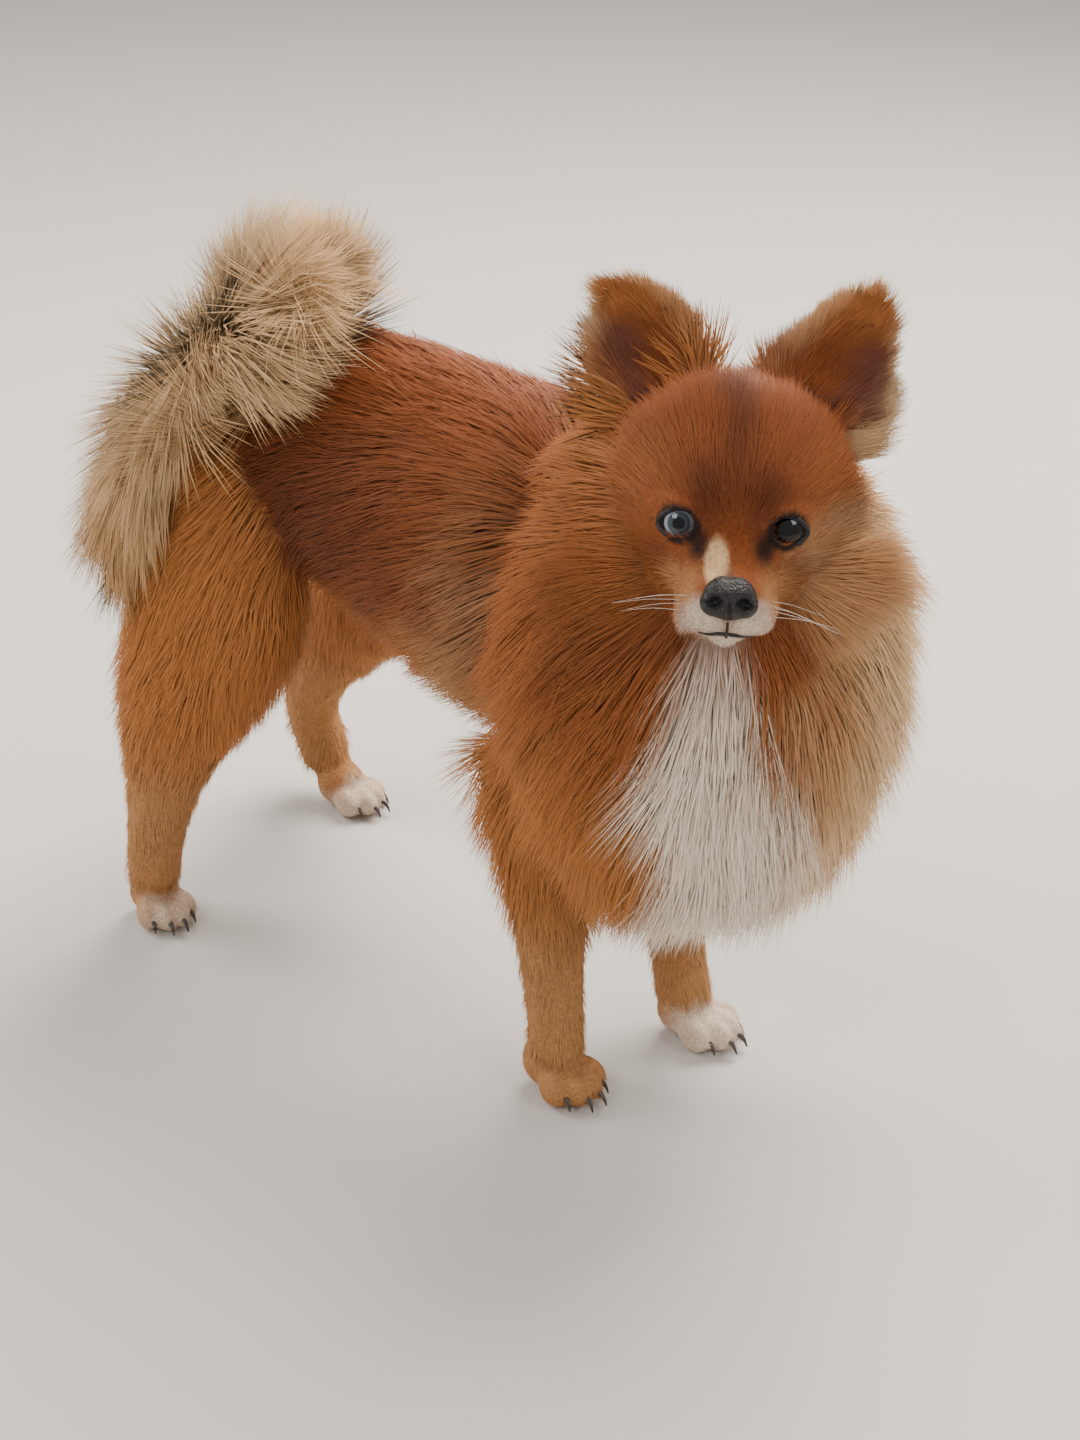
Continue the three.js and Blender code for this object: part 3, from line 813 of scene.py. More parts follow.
# The hair of each form: which way it lies, its length in mm and its lift in degrees.
def face_hair(q):
    """Away from the nose, shortest round the nose and eyes, longest on the cheeks."""
    folded = fold(q)
    side = np.sign(q[:, 0] + 1e-6)
    away = q - NOSE
    cheek = near(folded, (36, 4, -12), (22, 24, 22), 0.5)
    cheek_front = near(folded, (23, -26, -15), (15, 16, 15), 0.5)
    around_eye = near(folded, EYE, (12, 13, 9), 0.4)
    chin = near(q, (0, -43, -29), (16, 16, 8), 0.4)
    fan = np.column_stack([side * 0.7, np.full(len(q), 0.1), np.full(len(q), -0.3)])
    lie = unit(away) + cheek[:, None] * fan
    lie[:, 2] += 0.5 * smooth(14, 30, q[:, 2]) - 0.6 * smooth(-20, -34, q[:, 2])
    length = 3.2 + 11 * smooth(17, 46, np.linalg.norm(away, axis=1)) + 14 * cheek + 7 * cheek_front
    length += 7 * smooth(2, 24, q[:, 2]) + 6 * smooth(4, 34, q[:, 1])
    length *= (1 - 0.6 * around_eye) * (1 - 0.7 * chin)
    lift = 14 + 16 * cheek + 14 * cheek_front + 16 * smooth(4, 30, q[:, 2])
    return lie @ HEAD_AXES.T, length, lift * (1 - 0.5 * around_eye)


def ear_hair(q):
    """Up the ear and outwards, with long hair in the cup and a fringe on both edges."""
    side = np.sign(q[:, 0] + 1e-6)
    cup = cup_share(q)
    outer = ear_edge(fold(q))
    edge = smooth(0.6, 0.95, np.abs(outer))
    sweep = 0.35 + 0.5 * cup + 0.8 * smooth(0.5, 0.9, outer)
    lie = np.column_stack([sweep * side, 0.25 - 0.5 * cup, np.ones(len(q))])
    length = 5.5 + 6 * smooth(46, 26, q[:, 2]) + 4.5 * edge + 8 * cup
    return lie @ HEAD_AXES.T, length, 16 + 10 * cup + 22 * edge


def ruff_hair(points):
    """Out from the head, down and back, shorter at the top and the bottom of the ruff."""
    x, _, z = points.T
    lie = unit(points - from_head([0, -10, -4])) * 0.75 + 0.5 * DOWN + 0.35 * BACK
    lie += np.outer(smooth(225, 250, z) * 0.6, BACK)
    length = 42 - 16 * smooth(205, 245, z) - 18 * smooth(130, 92, z)
    return lie, length, 27 + 5 * smooth(0, 60, x)


def trunk_hair(points, normals):
    """Back along the spine and down the flanks."""
    flank = 1 - np.abs(normals[:, 2])
    lie = BACK + np.outer(0.2 + 0.45 * flank, DOWN)
    return lie, 30 - 8 * smooth(160, 140, points[:, 2]), 19 + 4 * smooth(60, 100, points[:, 1])


def tail_hair(points, normals):
    """Outwards from the middle of the curl, and down where the tail hangs."""
    z = points[:, 2]
    lie = unit(points - TAIL_CURL) + np.outer(smooth(216, 190, z) * 0.9, DOWN) + 0.25 * normals
    return lie, 36 + 6 * smooth(230, 260, z), np.full(len(z), 34.0)


def leg_hair(points, normals, paw):
    """Down and a little back, longer up the leg and behind it, and forward over the toes."""
    z = points[:, 2]
    rear = np.clip(normals[:, 1], 0, 1)
    if paw.startswith("hind"):
        lie = DOWN + np.outer(0.3 + 0.35 * rear, BACK)
        length = 10 + 13 * smooth(64, 136, z) + 9 * rear * smooth(60, 110, z)
        lift = 21 + 3 * smooth(60, 130, z)
    else:
        lie = DOWN + np.outer(0.12 + 0.3 * rear, BACK)
        length = 9.5 + 15 * smooth(58, 120, z) + 6 * rear * smooth(30, 80, z)
        lift = 21 + 2 * smooth(60, 120, z)
    foot = smooth(26, 14, z)
    heading = math.radians(PAWS[paw][2])
    toes = np.array([math.sin(heading), -math.cos(heading), -0.55])
    lie = lie * (1 - foot)[:, None] + np.outer(foot, toes)
    return lie, length * (1 - foot) + 4.2 * foot, lift * (1 - foot) + 15 * foot


def groom(points, normals, regions):
    """Which way the hair lies, its length in mm and its lift in radians, blended over the forms."""
    q = to_head(points)
    parts = {
        "head": face_hair(q),
        "ear_left": ear_hair(q),
        "ruff": ruff_hair(points),
        "trunk": trunk_hair(points, normals),
        "tail": tail_hair(points, normals),
        **{paw: leg_hair(points, normals, paw) for paw in PAWS},
    }
    parts["ear_right"] = parts["ear_left"]
    lie = sum(regions[name][:, None] * unit(parts[name][0]) for name in parts)
    length = sum(regions[name] * parts[name][1] for name in parts)
    lift = sum(regions[name] * parts[name][2] for name in parts)
    sway = np.column_stack([wave(points, 30, seed) for seed in (31, 32, 33)])
    ripple = np.column_stack([wave(points, 11, seed) for seed in (34, 35, 36)])
    lie = lie + (0.22 * sway + 0.1 * ripple) * (1 - 0.6 * regions["head"])[:, None]
    lie = unit(lie - normals * np.sum(lie * normals, axis=1, keepdims=True))
    return lie, length * (1 + 0.12 * wave(points, 17, 37)), np.radians(lift)


def bare(points, normals):
    """Where no hair grows: eyes, nose, mouth line and soles."""
    q = to_head(points)
    eyes = eye_share(fold(q)) < 1.3
    nose = np.linalg.norm((q - NOSE) / [9.2, 8, 7.9], axis=1) < 1
    lips = mouth_distance(q, 60) < 1.3
    soles = (points[:, 2] < 3) & (normals[:, 2] < -0.5)
    return eyes | nose | lips | soles


def mouth_distance(q, steps):
    """Distance from the line of the closed mouth, in mm."""
    line = catmull_rom(MOUTH, np.linspace(0, 1, steps))
    return np.min([np.linalg.norm(q - point, axis=1) for point in line], axis=0)


def eye_share(folded):
    """Distance from the left eye's gaze as a share of its opening, and a large number behind the eye."""
    gaze, across, up = gaze_axes(1)
    gap = folded - EYE
    share = np.hypot(gap @ across / EYE_OPENING[0], gap @ up / EYE_OPENING[1])
    return np.where(gap @ gaze > 0, share, 9.0)


def gaze_axes(side):
    """An eye's gaze and the directions across and up its opening, in the head's frame."""
    gaze = unit([side * 0.12, -1, 0.08])
    across = unit(np.cross([0, 0, 1.0], gaze)) * side
    return gaze, across, np.array([0, 0, 1.0]) - gaze * gaze[2]


def cup_share(q):
    """1 inside the cups of the ears, falling to 0 outside them."""
    return 1 - smooth(0.95, 1.2, Form(EAR_CUP).nearness(fold(q)))


class Skin:
    """The skin's triangles, as the coat's ground."""

    def __init__(self, piece):
        mesh = piece.data
        mesh.calc_loop_triangles()
        triangles = mesh.loop_triangles
        self.points = to_dog(points_of(piece))
        self.normals = numbers_of(mesh.vertices, "normal", 3)
        self.corners = numbers_of(triangles, "vertices", 3, int)
        self.areas = numbers_of(triangles, "area", 1)[:, 0]
        loops = numbers_of(triangles, "loops", 3, int)
        self.uv = numbers_of(mesh.uv_layers["OFBake"].uv, "vector", 2)[loops]
        self.regions = region_weights(self.points)
        self.owner = np.argmax([self.regions[name] for name in FORMS], axis=0)
        self.middles = self.points[self.corners].mean(axis=1)

    def scatter(self, chosen, count, draw):
        """Roots spread evenly over the chosen triangles: points, normals, map places and form weights."""
        share = np.cumsum(self.areas * chosen)
        picked = np.searchsorted(share, draw.random(count) * share[-1])
        a, b = draw.random((2, count))
        flip = a + b > 1
        a, b = np.where(flip, 1 - a, a), np.where(flip, 1 - b, b)
        mix = np.column_stack([1 - a - b, a, b])[:, :, None]
        corners = self.corners[picked]
        points = np.sum(self.points[corners] * mix, axis=1)
        normals = unit(np.sum(self.normals[corners] * mix, axis=1))
        places = np.sum(self.uv[picked] * mix, axis=1)
        regions = {name: np.sum(w[corners] * mix[:, :, 0], axis=1) for name, w in self.regions.items()}
        return points, normals, places, regions


# The coat's pieces: the forms that they cover, where on them in the two frames, how many tufts, the
# shares of a tuft's length that carry a ring, a tuft's width in mm, and how far the tips draw together.
TWO_RINGS = (0.0, 0.45)
ONE_RING = (0.0,)
COATS = {
    "coat_muzzle": (("head",), lambda p, q: q[:, 1] < -22, 28000, ONE_RING, 0.34, 0.05),
    "coat_face": (("head",), lambda p, q: (q[:, 1] >= -22) & (q[:, 1] < -4), 14000, TWO_RINGS, 0.42, 0.15),
    "coat_crown": (("head",), lambda p, q: q[:, 1] >= -4, 13500, TWO_RINGS, 0.55, 0.25),
    "coat_ears": (("ear_left", "ear_right"), None, 26000, ONE_RING, 0.42, 0.2),
    "coat_mane": (("ruff",), lambda p, q: p[:, 2] > 165, 18000, TWO_RINGS, 0.7, 0.3),
    "coat_bib": (("ruff",), lambda p, q: p[:, 2] <= 165, 17500, TWO_RINGS, 0.7, 0.3),
    "coat_back": (("trunk",), lambda p, q: p[:, 0] > 0, 8500, TWO_RINGS, 0.8, 0.3),
    "coat_flank": (("trunk",), lambda p, q: p[:, 0] <= 0, 14000, TWO_RINGS, 0.7, 0.3),
    "coat_tail": (("tail",), None, 14000, TWO_RINGS, 0.7, 0.2),
    "coat_thighs": (("hind_left", "hind_right"), lambda p, q: p[:, 2] > 70, 12000, TWO_RINGS, 0.7, 0.25),
    "coat_legs": (tuple(PAWS), lambda p, q: p[:, 2] > 24, 26000, ONE_RING, 0.55, 0.2),
    "coat_paws": (tuple(PAWS), lambda p, q: p[:, 2] <= 24, 11000, ONE_RING, 0.42, 0.15),
}
PALE_COATS = ("coat_tail", "coat_bib")
# A tuft's sides, how many tufts draw together, how deep a root sits in mm and its patch on the map.
SIDES = 3
TUFTS_PER_CLUMP = 14
ROOT_DEPTH = 0.8
PATCH = 0.003


def strands(roots, normals, lie, length, lift, shares, draw, clump):
    """The middle lines of tufts at shares of their length, with the tips drawn together into clumps."""
    count = len(roots)
    side = np.cross(normals, lie)
    bend = draw.normal(0, 0.07, (count, 1))
    twist = draw.normal(0, 0.12, (count, 1))
    lie = unit(lie + side * twist)
    lift = lift * draw.uniform(0.7, 1.3, count)
    lines = np.empty((count, len(shares) + 1, 3))
    for k, share in enumerate([*shares, 1.0]):
        angle = (lift * (1 - 0.4 * share))[:, None]
        step = (length * share)[:, None]
        lines[:, k] = roots - normals * ROOT_DEPTH + step * (lie * np.cos(angle) + normals * np.sin(angle))
        lines[:, k] += side * bend * step * share + np.outer(length * share**2 * 0.05, DOWN)
    centres = draw.choice(count, max(2, count // TUFTS_PER_CLUMP), replace=False)
    tree = kdtree.KDTree(len(centres))
    for k, centre in enumerate(centres):
        tree.insert(roots[centre], k)
    tree.balance()
    own = centres[[tree.find(root)[1] for root in roots]]
    for k, share in enumerate([*shares, 1.0]):
        pull = clump * share**1.4
        lines[:, k] += (lines[own, k] - lines[:, k]) * pull
    return lines


def tuft_mesh(name, lines, normals, widths, shares):
    """Closed, three-sided, tapered tufts round their middle lines, with their corners' vertices and
    the number of vertices that each tuft has."""
    count = len(lines)
    rings = len(shares)
    per = rings * SIDES + 1
    points = np.empty((count, per, 3))
    shading = np.empty((count, per, 3))
    for k, share in enumerate(shares):
        along = unit(lines[:, k + 1] - lines[:, max(k - 1, 0)])
        side = unit(np.cross(along, normals))
        up = np.cross(side, along)
        half = (widths * 0.5 * (1 - 0.75 * share))[:, None]
        for j, (a, b) in enumerate(((1, -0.2), (0, 0.6), (-1, -0.2))):
            offset = side * a + up * b
            points[:, k * SIDES + j] = lines[:, k] + offset * half
            shading[:, k * SIDES + j] = unit(normals * 1.1 + offset * 0.6 + up * 0.5)
    points[:, -1] = lines[:, -1]
    points[:, :, 2] = np.maximum(points[:, :, 2], FLOOR_GAP)
    shading[:, -1] = unit(normals + shading[:, -2] * 0.5)
    faces = [(0, 1, 2)]
    for k in range(rings - 1):
        for j in range(SIDES):
            a = k * SIDES + j
            b = k * SIDES + (j + 1) % SIDES
            faces += [(a, a + SIDES, b), (b, a + SIDES, b + SIDES)]
    last = (rings - 1) * SIDES
    faces += [(last + j, per - 1, last + (j + 1) % SIDES) for j in range(SIDES)]
    faces = np.asarray(faces)
    corners = (faces[None] + (np.arange(count) * per)[:, None, None]).ravel()
    mesh = bpy.data.meshes.new(name)
    mesh.vertices.add(count * per)
    mesh.vertices.foreach_set("co", to_world(points.reshape(-1, 3)).ravel())
    mesh.loops.add(len(corners))
    mesh.loops.foreach_set("vertex_index", corners)
    total = count * len(faces)
    mesh.polygons.add(total)
    mesh.polygons.foreach_set("loop_start", np.arange(total) * 3)
    mesh.update(calc_edges=True)
    mesh.validate()
    mesh.normals_split_custom_set_from_vertices(shading.reshape(-1, 3).tolist())
    return mesh, corners, per


def grow(name, skin):
    """Grows one piece of the coat."""
    forms, where, count, shares, width, clump = COATS[name]
    draw = np.random.default_rng(sum(map(ord, name)))
    owners = [list(FORMS).index(form) for form in forms]
    chosen = np.isin(skin.owner[skin.corners[:, 0]], owners)
    if where:
        chosen &= where(skin.middles, to_head(skin.middles))
    count = int(count * settings().tuft_share)
    roots, normals, places, regions = skin.scatter(chosen, count, draw)
    keep = ~bare(roots, normals)
    roots, normals, places = roots[keep], normals[keep], places[keep]
    regions = {key: value[keep] for key, value in regions.items()}
    lie, length, lift = groom(roots, normals, regions)
    length = length * draw.uniform(0.75, 1.15, len(roots))
    lines = strands(roots, normals, lie, length, lift, shares, draw, clump)
    widths = width * draw.uniform(0.7, 1.3, len(roots))
    mesh, corners, per = tuft_mesh(name, lines, normals, widths, shares)
    colours = np.repeat(markings(roots, regions), per, axis=0)
    add_colours(mesh, colours)
    ring = np.array([*np.repeat(shares, SIDES), 1.0])
    add_values(mesh, "along", np.tile(ring, len(roots)))
    add_values(mesh, "strand", np.repeat(draw.random(len(roots)), per))
    spread = np.column_stack([[*([-1, 0, 1] * len(shares)), 0], ring * 2 - 1]) * PATCH / 2
    patch = (places[:, None, :] + spread[None]).reshape(-1, 2)[corners]
    mesh.uv_layers.new(name="OFBake").uv.foreach_set("vector", patch.ravel())
    piece = bpy.data.objects.new(name, mesh)
    bpy.context.scene.collection.objects.link(piece)
    return piece


# Materials.
def coat_material(name, root_painted_shade, variety):
    """Hair: the marking's colour, darkened towards the root as painted shade deep in the coat, varied from
    tuft to tuft.
    """
    shader = Shader(name, Roughness=0.62, Sheen_Weight=0.05, Sheen_Roughness=0.4, Specular_IOR_Level=0.22)
    colour = shader.attribute("coat_colour", "Color")
    along = shader.attribute("along")
    strand = shader.attribute("strand")
    dark = shader.mix(strand * (0.3 * variety), colour, (0.4, 0.34, 0.3, 1), "MULTIPLY")
    light = shader.mix(strand**3 * along * (0.7 * variety), dark, shader.scaled(dark, 1.7))
    # Painted shade: the colour darkens towards the root, where the coat shades itself.
    shader.set("Base Color", shader.scaled(light, shader.ranged(along, 0.0, 0.45, root_painted_shade, 1.0)))
    shader.set("Roughness", shader.ranged(strand, 0, 1, 0.5, 0.75))
    return shader.material


def skin_material():
    """Skin under the coat, in the coat's markings darkened in mottles as painted shade between the tufts,
    with fine flat hair as bump.
    """
    shader = Shader("skin_under_coat", Roughness=0.8, Specular_IOR_Level=0.2)
    colour = shader.attribute("coat_colour", "Color")
    fine = shader.noise(900, 4)
    broad = shader.noise(60, 3)
    # Painted shade: the markings darken in mottles, as the skin between the tufts lies in the coat's shade.
    mottled_painted_shade = shader.mix(shader.ranged(fine, 0.3, 0.7, 0.2, 0.75), colour, (0.3, 0.25, 0.22, 1), "MULTIPLY")
    shader.set("Base Color", shader.mix(broad * 0.25, mottled_painted_shade, colour))
    shader.set("Roughness", shader.ranged(broad, 0.3, 0.7, 0.7, 0.9))
    shader.bump(fine, 0.0006, 0.6)
    return shader.material


def eye_material(name, centre, gaze, iris, rim):
    """A wet eye, in rings by the cosine of the angle to its gaze: pupil, iris, pale rim, dark edge. A pale
    rim is a painted reflection.
    """
    shader = Shader(name, Roughness=0.06, Coat_Weight=0.3, Coat_Roughness=0.02, Specular_IOR_Level=0.25)
    vector = "ShaderNodeVectorMath"
    offset = shader.node(vector, {"operation": "SUBTRACT"}, shader.place(), tuple(centre))
    heading = shader.node(vector, {"operation": "NORMALIZE"}, offset)
    facing = shader.node(vector, {"operation": "DOT_PRODUCT"}, heading, tuple(gaze), output="Value")
    streaks = shader.noise(1500, 5)
    # The streaked rim: on the right eye its pale colour is a painted reflection.
    pale = shader.mix(shader.ranged(streaks, 0.35, 0.65), rgba(rim), rgba([v * 0.7 for v in rim]))
    inner = shader.mix(shader.ranged(facing, 0.93, 0.905), rgba(iris), pale)
    ringed = shader.mix(shader.ranged(facing, 0.87, 0.845), inner, (0.012, 0.01, 0.012, 1))
    pupil = shader.ranged(facing, 0.972, 0.98)
    shader.set("Base Color", shader.mix(pupil, ringed, (0.003, 0.003, 0.004, 1)))
    return shader.material


def leather_material(name, cells, depth, roughness):
    """Moist, dark, pebbled skin, as on the nose, lips and lids."""
    colour = settings().black
    shader = Shader(name, Roughness=roughness, Coat_Weight=0.1, Specular_IOR_Level=0.35)
    pebbles = shader.node("ShaderNodeTexVoronoi", Vector=shader.place(), Scale=cells)
    soft = shader.noise(250, 3)
    paler = rgba([1.6 * v + 0.003 for v in colour])
    shader.set("Base Color", shader.mix(shader.ranged(soft, 0.3, 0.7), rgba(colour), paler))
    shader.set("Roughness", shader.ranged(soft, 0.3, 0.7, roughness - 0.08, roughness + 0.12))
    shader.bump(pebbles * -1.0 + soft * 0.4, depth, 0.7)
    return shader.material


def claw_material():
    """Black horn with paler streaks."""
    shader = Shader("claw_horn", Roughness=0.35)
    grain = shader.noise(700, 4)
    streaks = shader.ranged(grain, 0.35, 0.65)
    shader.set("Base Color", shader.mix(streaks, (0.02, 0.017, 0.016, 1), (0.09, 0.07, 0.06, 1)))
    shader.bump(grain, 0.0002, 0.4)
    return shader.material


def whisker_material():
    """Stiff hair, pale with darker stretches."""
    shader = Shader("whisker_hair", Roughness=0.35)
    shader.set("Base Color", shader.mix(shader.noise(400, 2), (0.75, 0.68, 0.6, 1), (0.35, 0.28, 0.22, 1)))
    return shader.material


def floor_material():
    """Matt, pale grey."""
    shader = Shader("studio_floor", Roughness=0.75)
    cloudy = shader.noise(3, 2) * 0.2
    shader.set("Base Color", shader.mix(cloudy, (0.62, 0.6, 0.57, 1), (0.55, 0.53, 0.5, 1)))
    return shader.material


# Operators, one for each piece or group of like pieces.
FLESH = (
    "head ear_left ear_right neck_ruff torso tail_base tail_plume front_leg_left front_leg_right "
    "hind_thigh_left hind_thigh_right hind_shank_left hind_shank_right "
    "front_paw_left front_paw_right hind_paw_left hind_paw_right"
).split()
SKIN_GRAIN = 1.7
# Rounded parts of the face, in the head's frame: their middles and half sizes. Cheeks, flews and brows
# come in pairs, and the chin and the nose's bridge are single.
FACE_PAIRS = (
    ((22, -3, -14), (19.5, 19, 18)),
    ((7.6, -40.5, -19), (7.5, 12.6, 7.6)),
    ((12.5, -22, 11.5), (9, 8.5, 5.5)),
)
FACE_MIDDLE = (
    ((0, -38, -26), (7, 11, 3.4)),
    ((0, -30, -6), (8, 14, 8)),
)
SOCKET_GAP = 0.5
MOUTH_DEPTH = 1.3
MOUTH_WIDTH = 1.6


class POM_OT_skin(bpy.types.Operator):
    """Builds the one skin over the whole body, with eye sockets, lips, ear cups and toes"""

    bl_idname = "pomeranian.skin"
    bl_label = "Skin"

    def execute(self, context):
        skin = join([*self.body(), *self.ears(), *self.face(), *self.paws()], "skin")
        apply_modifier(skin, "REMESH", mode="VOXEL", voxel_size=SKIN_GRAIN, use_smooth_shade=True)
        apply_modifier(skin, "SMOOTH", factor=0.5, iterations=3)
        set_points(skin, self.fitted(points_of(skin)))
        self.open_eyes(skin)
        set_points(skin, to_world(points_of(skin)))
        self.unwrap(skin)
        add_colours(skin.data, self.colours(to_dog(points_of(skin))))
        settle(skin, "skin", skin_material(), "coat_red", FLESH)
        return {"FINISHED"}

    def body(self):
        return [swept(form, 32, 40) for name, form in FORMS.items() if not name.startswith("ear")]

    def ears(self):
        for shape, cup in ((EAR, EAR_CUP), (mirrored(EAR), mirrored(EAR_CUP))):
            shell = swept(Form(shape, in_head=True), 28, 28)
            hollow = swept(Form(cup, in_head=True), 20, 20)
            outward(shell)
            outward(hollow)
            apply_modifier(shell, "BOOLEAN", object=hollow, operation="DIFFERENCE", solver="EXACT")
            bpy.data.objects.remove(hollow)
            yield shell

    def face(self):
        for (x, y, z), radii in FACE_PAIRS:
            for side in (1, -1):
                yield ball((side * x, y, z), radii, in_head=True)
        for centre, radii in FACE_MIDDLE:
            yield ball(centre, radii, in_head=True)

    def paws(self):
        for paw, (_, _, heading, scale) in PAWS.items():
            for centre, radii, turn in paw_shapes():
                yield ball(paw_points(paw, centre), np.multiply(radii, scale), heading + turn)

    def fitted(self, points):
        """Eye sockets pressed in, the mouth line drawn in and the soles flattened."""
        q = to_head(points)
        for side in (1, -1):
            middle = EYE * [side, 1, 1]
            gap = q - middle
            reach = np.linalg.norm(gap, axis=1)
            socket = EYE_RADIUS + SOCKET_GAP
            inside = (reach < socket) & (reach > 1e-6)
            q[inside] = middle + gap[inside] * (socket / reach[inside])[:, None]
        dip = np.exp(-((mouth_distance(q, 80) / MOUTH_WIDTH) ** 2)) * MOUTH_DEPTH
        inward = unit(np.array([0, -20, -16]) - q)
        q = q + inward * dip[:, None]
        points = from_head(q)
        points[:, 2] = np.maximum(points[:, 2], FLOOR_GAP)
        return points

    def open_eyes(self, skin):
        """Cuts the openings between the lids."""
        cutters = []
        for side in (1, -1):
            gaze, across, up = gaze_axes(side)
            cutter = ball((0, 0, 0), (EYE_OPENING[0], 9, EYE_OPENING[1]), segments=40, rings=24)
            middle = EYE * [side, 1, 1] + gaze * 11
            set_points(cutter, from_head(points_of(cutter) @ np.array([across, -gaze, up]) + middle))
            outward(cutter)
            cutters.append(cutter)
        cutter = join(cutters, "eye_cutter")
        apply_modifier(skin, "BOOLEAN", object=cutter, operation="DIFFERENCE", solver="EXACT")
        bpy.data.objects.remove(cutter)
        smooth_shade(skin)

    def unwrap(self, skin):
        """Makes the map that the skin and the coat's roots share."""
        for layer in list(skin.data.uv_layers):
            skin.data.uv_layers.remove(layer)
        skin.data.uv_layers.new(name="OFBake")
        edited(skin, bpy.ops.uv.smart_project, angle_limit=math.radians(72), island_margin=0.002)

    def colours(self, points):
        """The coat's markings, with bare skin in the ears' cups and dark skin round the eyes."""
        q = to_head(points)
        hues = settings()
        colours = markings(points, region_weights(points))
        colours = paint(colours, cup_share(q), hues.ear_skin)
        return paint(colours, smooth(1.5, 1.25, eye_share(fold(q))) * 0.95, hues.black)


# Each eye: its name, its side, the colours of its iris and of the ring round it, and its slot. The right
# eye's pale ring is a painted reflection.
EYES = (
    # Painted reflection: the right eye's pale grey-blue ring.
    ("right", -1, (0.045, 0.06, 0.08), (0.3, 0.34, 0.38), "eye_blue"),
    ("left", 1, (0.005, 0.004, 0.003), (0.007, 0.005, 0.004), "eye_dark"),
)
CORNEA_BULGE = 0.05
LID_GAP = 0.55
LID_WIDTH = 3.4
LID_DEPTH = 3.0


class POM_OT_eyes(bpy.types.Operator):
    """Builds both eyes, the right one with a pale grey-blue ring of painted reflection and the left one
    dark, and their lids
    """

    bl_idname = "pomeranian.eyes"
    bl_label = "Eyes"

    def execute(self, context):
        for name, side, iris, rim, slot in EYES:
            centre = EYE * [side, 1, 1]
            gaze = gaze_axes(side)[0]
            eye = ball((0, 0, 0), (1, 1, 1), segments=64, rings=48)
            points = points_of(eye)
            radius = EYE_RADIUS * (1 + CORNEA_BULGE * smooth(0.72, 0.9, points @ gaze))
            set_points(eye, to_world(from_head(points * radius[:, None] + centre)))
            smooth_shade(eye)
            place = to_world(from_head(centre))
            material = eye_material("wet_eye_" + name, place, HEAD_AXES @ gaze, iris, rim)
            settle(eye, "eyeball_" + name, material, slot, ["eye_" + name])
            self.lids(name, side, centre)
        return {"FINISHED"}

    def lids(self, name, side, centre):
        """A thin dark rim round the almond opening, reshaped from a ring."""
        deselect()
        bpy.ops.mesh.primitive_torus_add(
            major_radius=1, minor_radius=0.25, major_segments=72, minor_segments=12
        )
        lid = bpy.context.active_object
        points = points_of(lid)
        turn = np.arctan2(points[:, 1], points[:, 0])
        spread = (np.hypot(points[:, 0], points[:, 1]) - 1) * LID_WIDTH
        gaze, across, up = gaze_axes(side)
        wide = EYE_OPENING[0] * (1.1 + 0.16 * np.cos(turn) ** 8) * np.cos(turn)
        high = EYE_OPENING[1] * (np.sin(turn) - 0.105 * np.cos(turn))
        seat = np.sqrt(np.maximum((EYE_RADIUS + LID_GAP) ** 2 - wide**2 - high**2, 4))
        wide += spread * np.cos(turn)
        high += spread * np.sin(turn)
        depth = seat + points[:, 2] * LID_DEPTH
        place = centre + np.outer(wide, across) + np.outer(high, up) + np.outer(depth, gaze)
        set_points(lid, to_world(from_head(place)))
        outward(lid)
        smooth_shade(lid)
        rim_skin = leather_material("eyelid_skin_" + name, 1500, 0.0002, 0.6)
        settle(lid, "eyelids_" + name, rim_skin, "coat_red")


# The hole and the side slit of a nostril: middle from the nose's own, half sizes and depth in mm.
NOSTRIL_DIPS = (
    ((4.3, -6.2, -0.8), (2.0, 4, 1.7), 3.4),
    ((7.4, -4, -1.6), (2.6, 3.6, 0.7), 1.6),
)
LIP_STEPS = 61


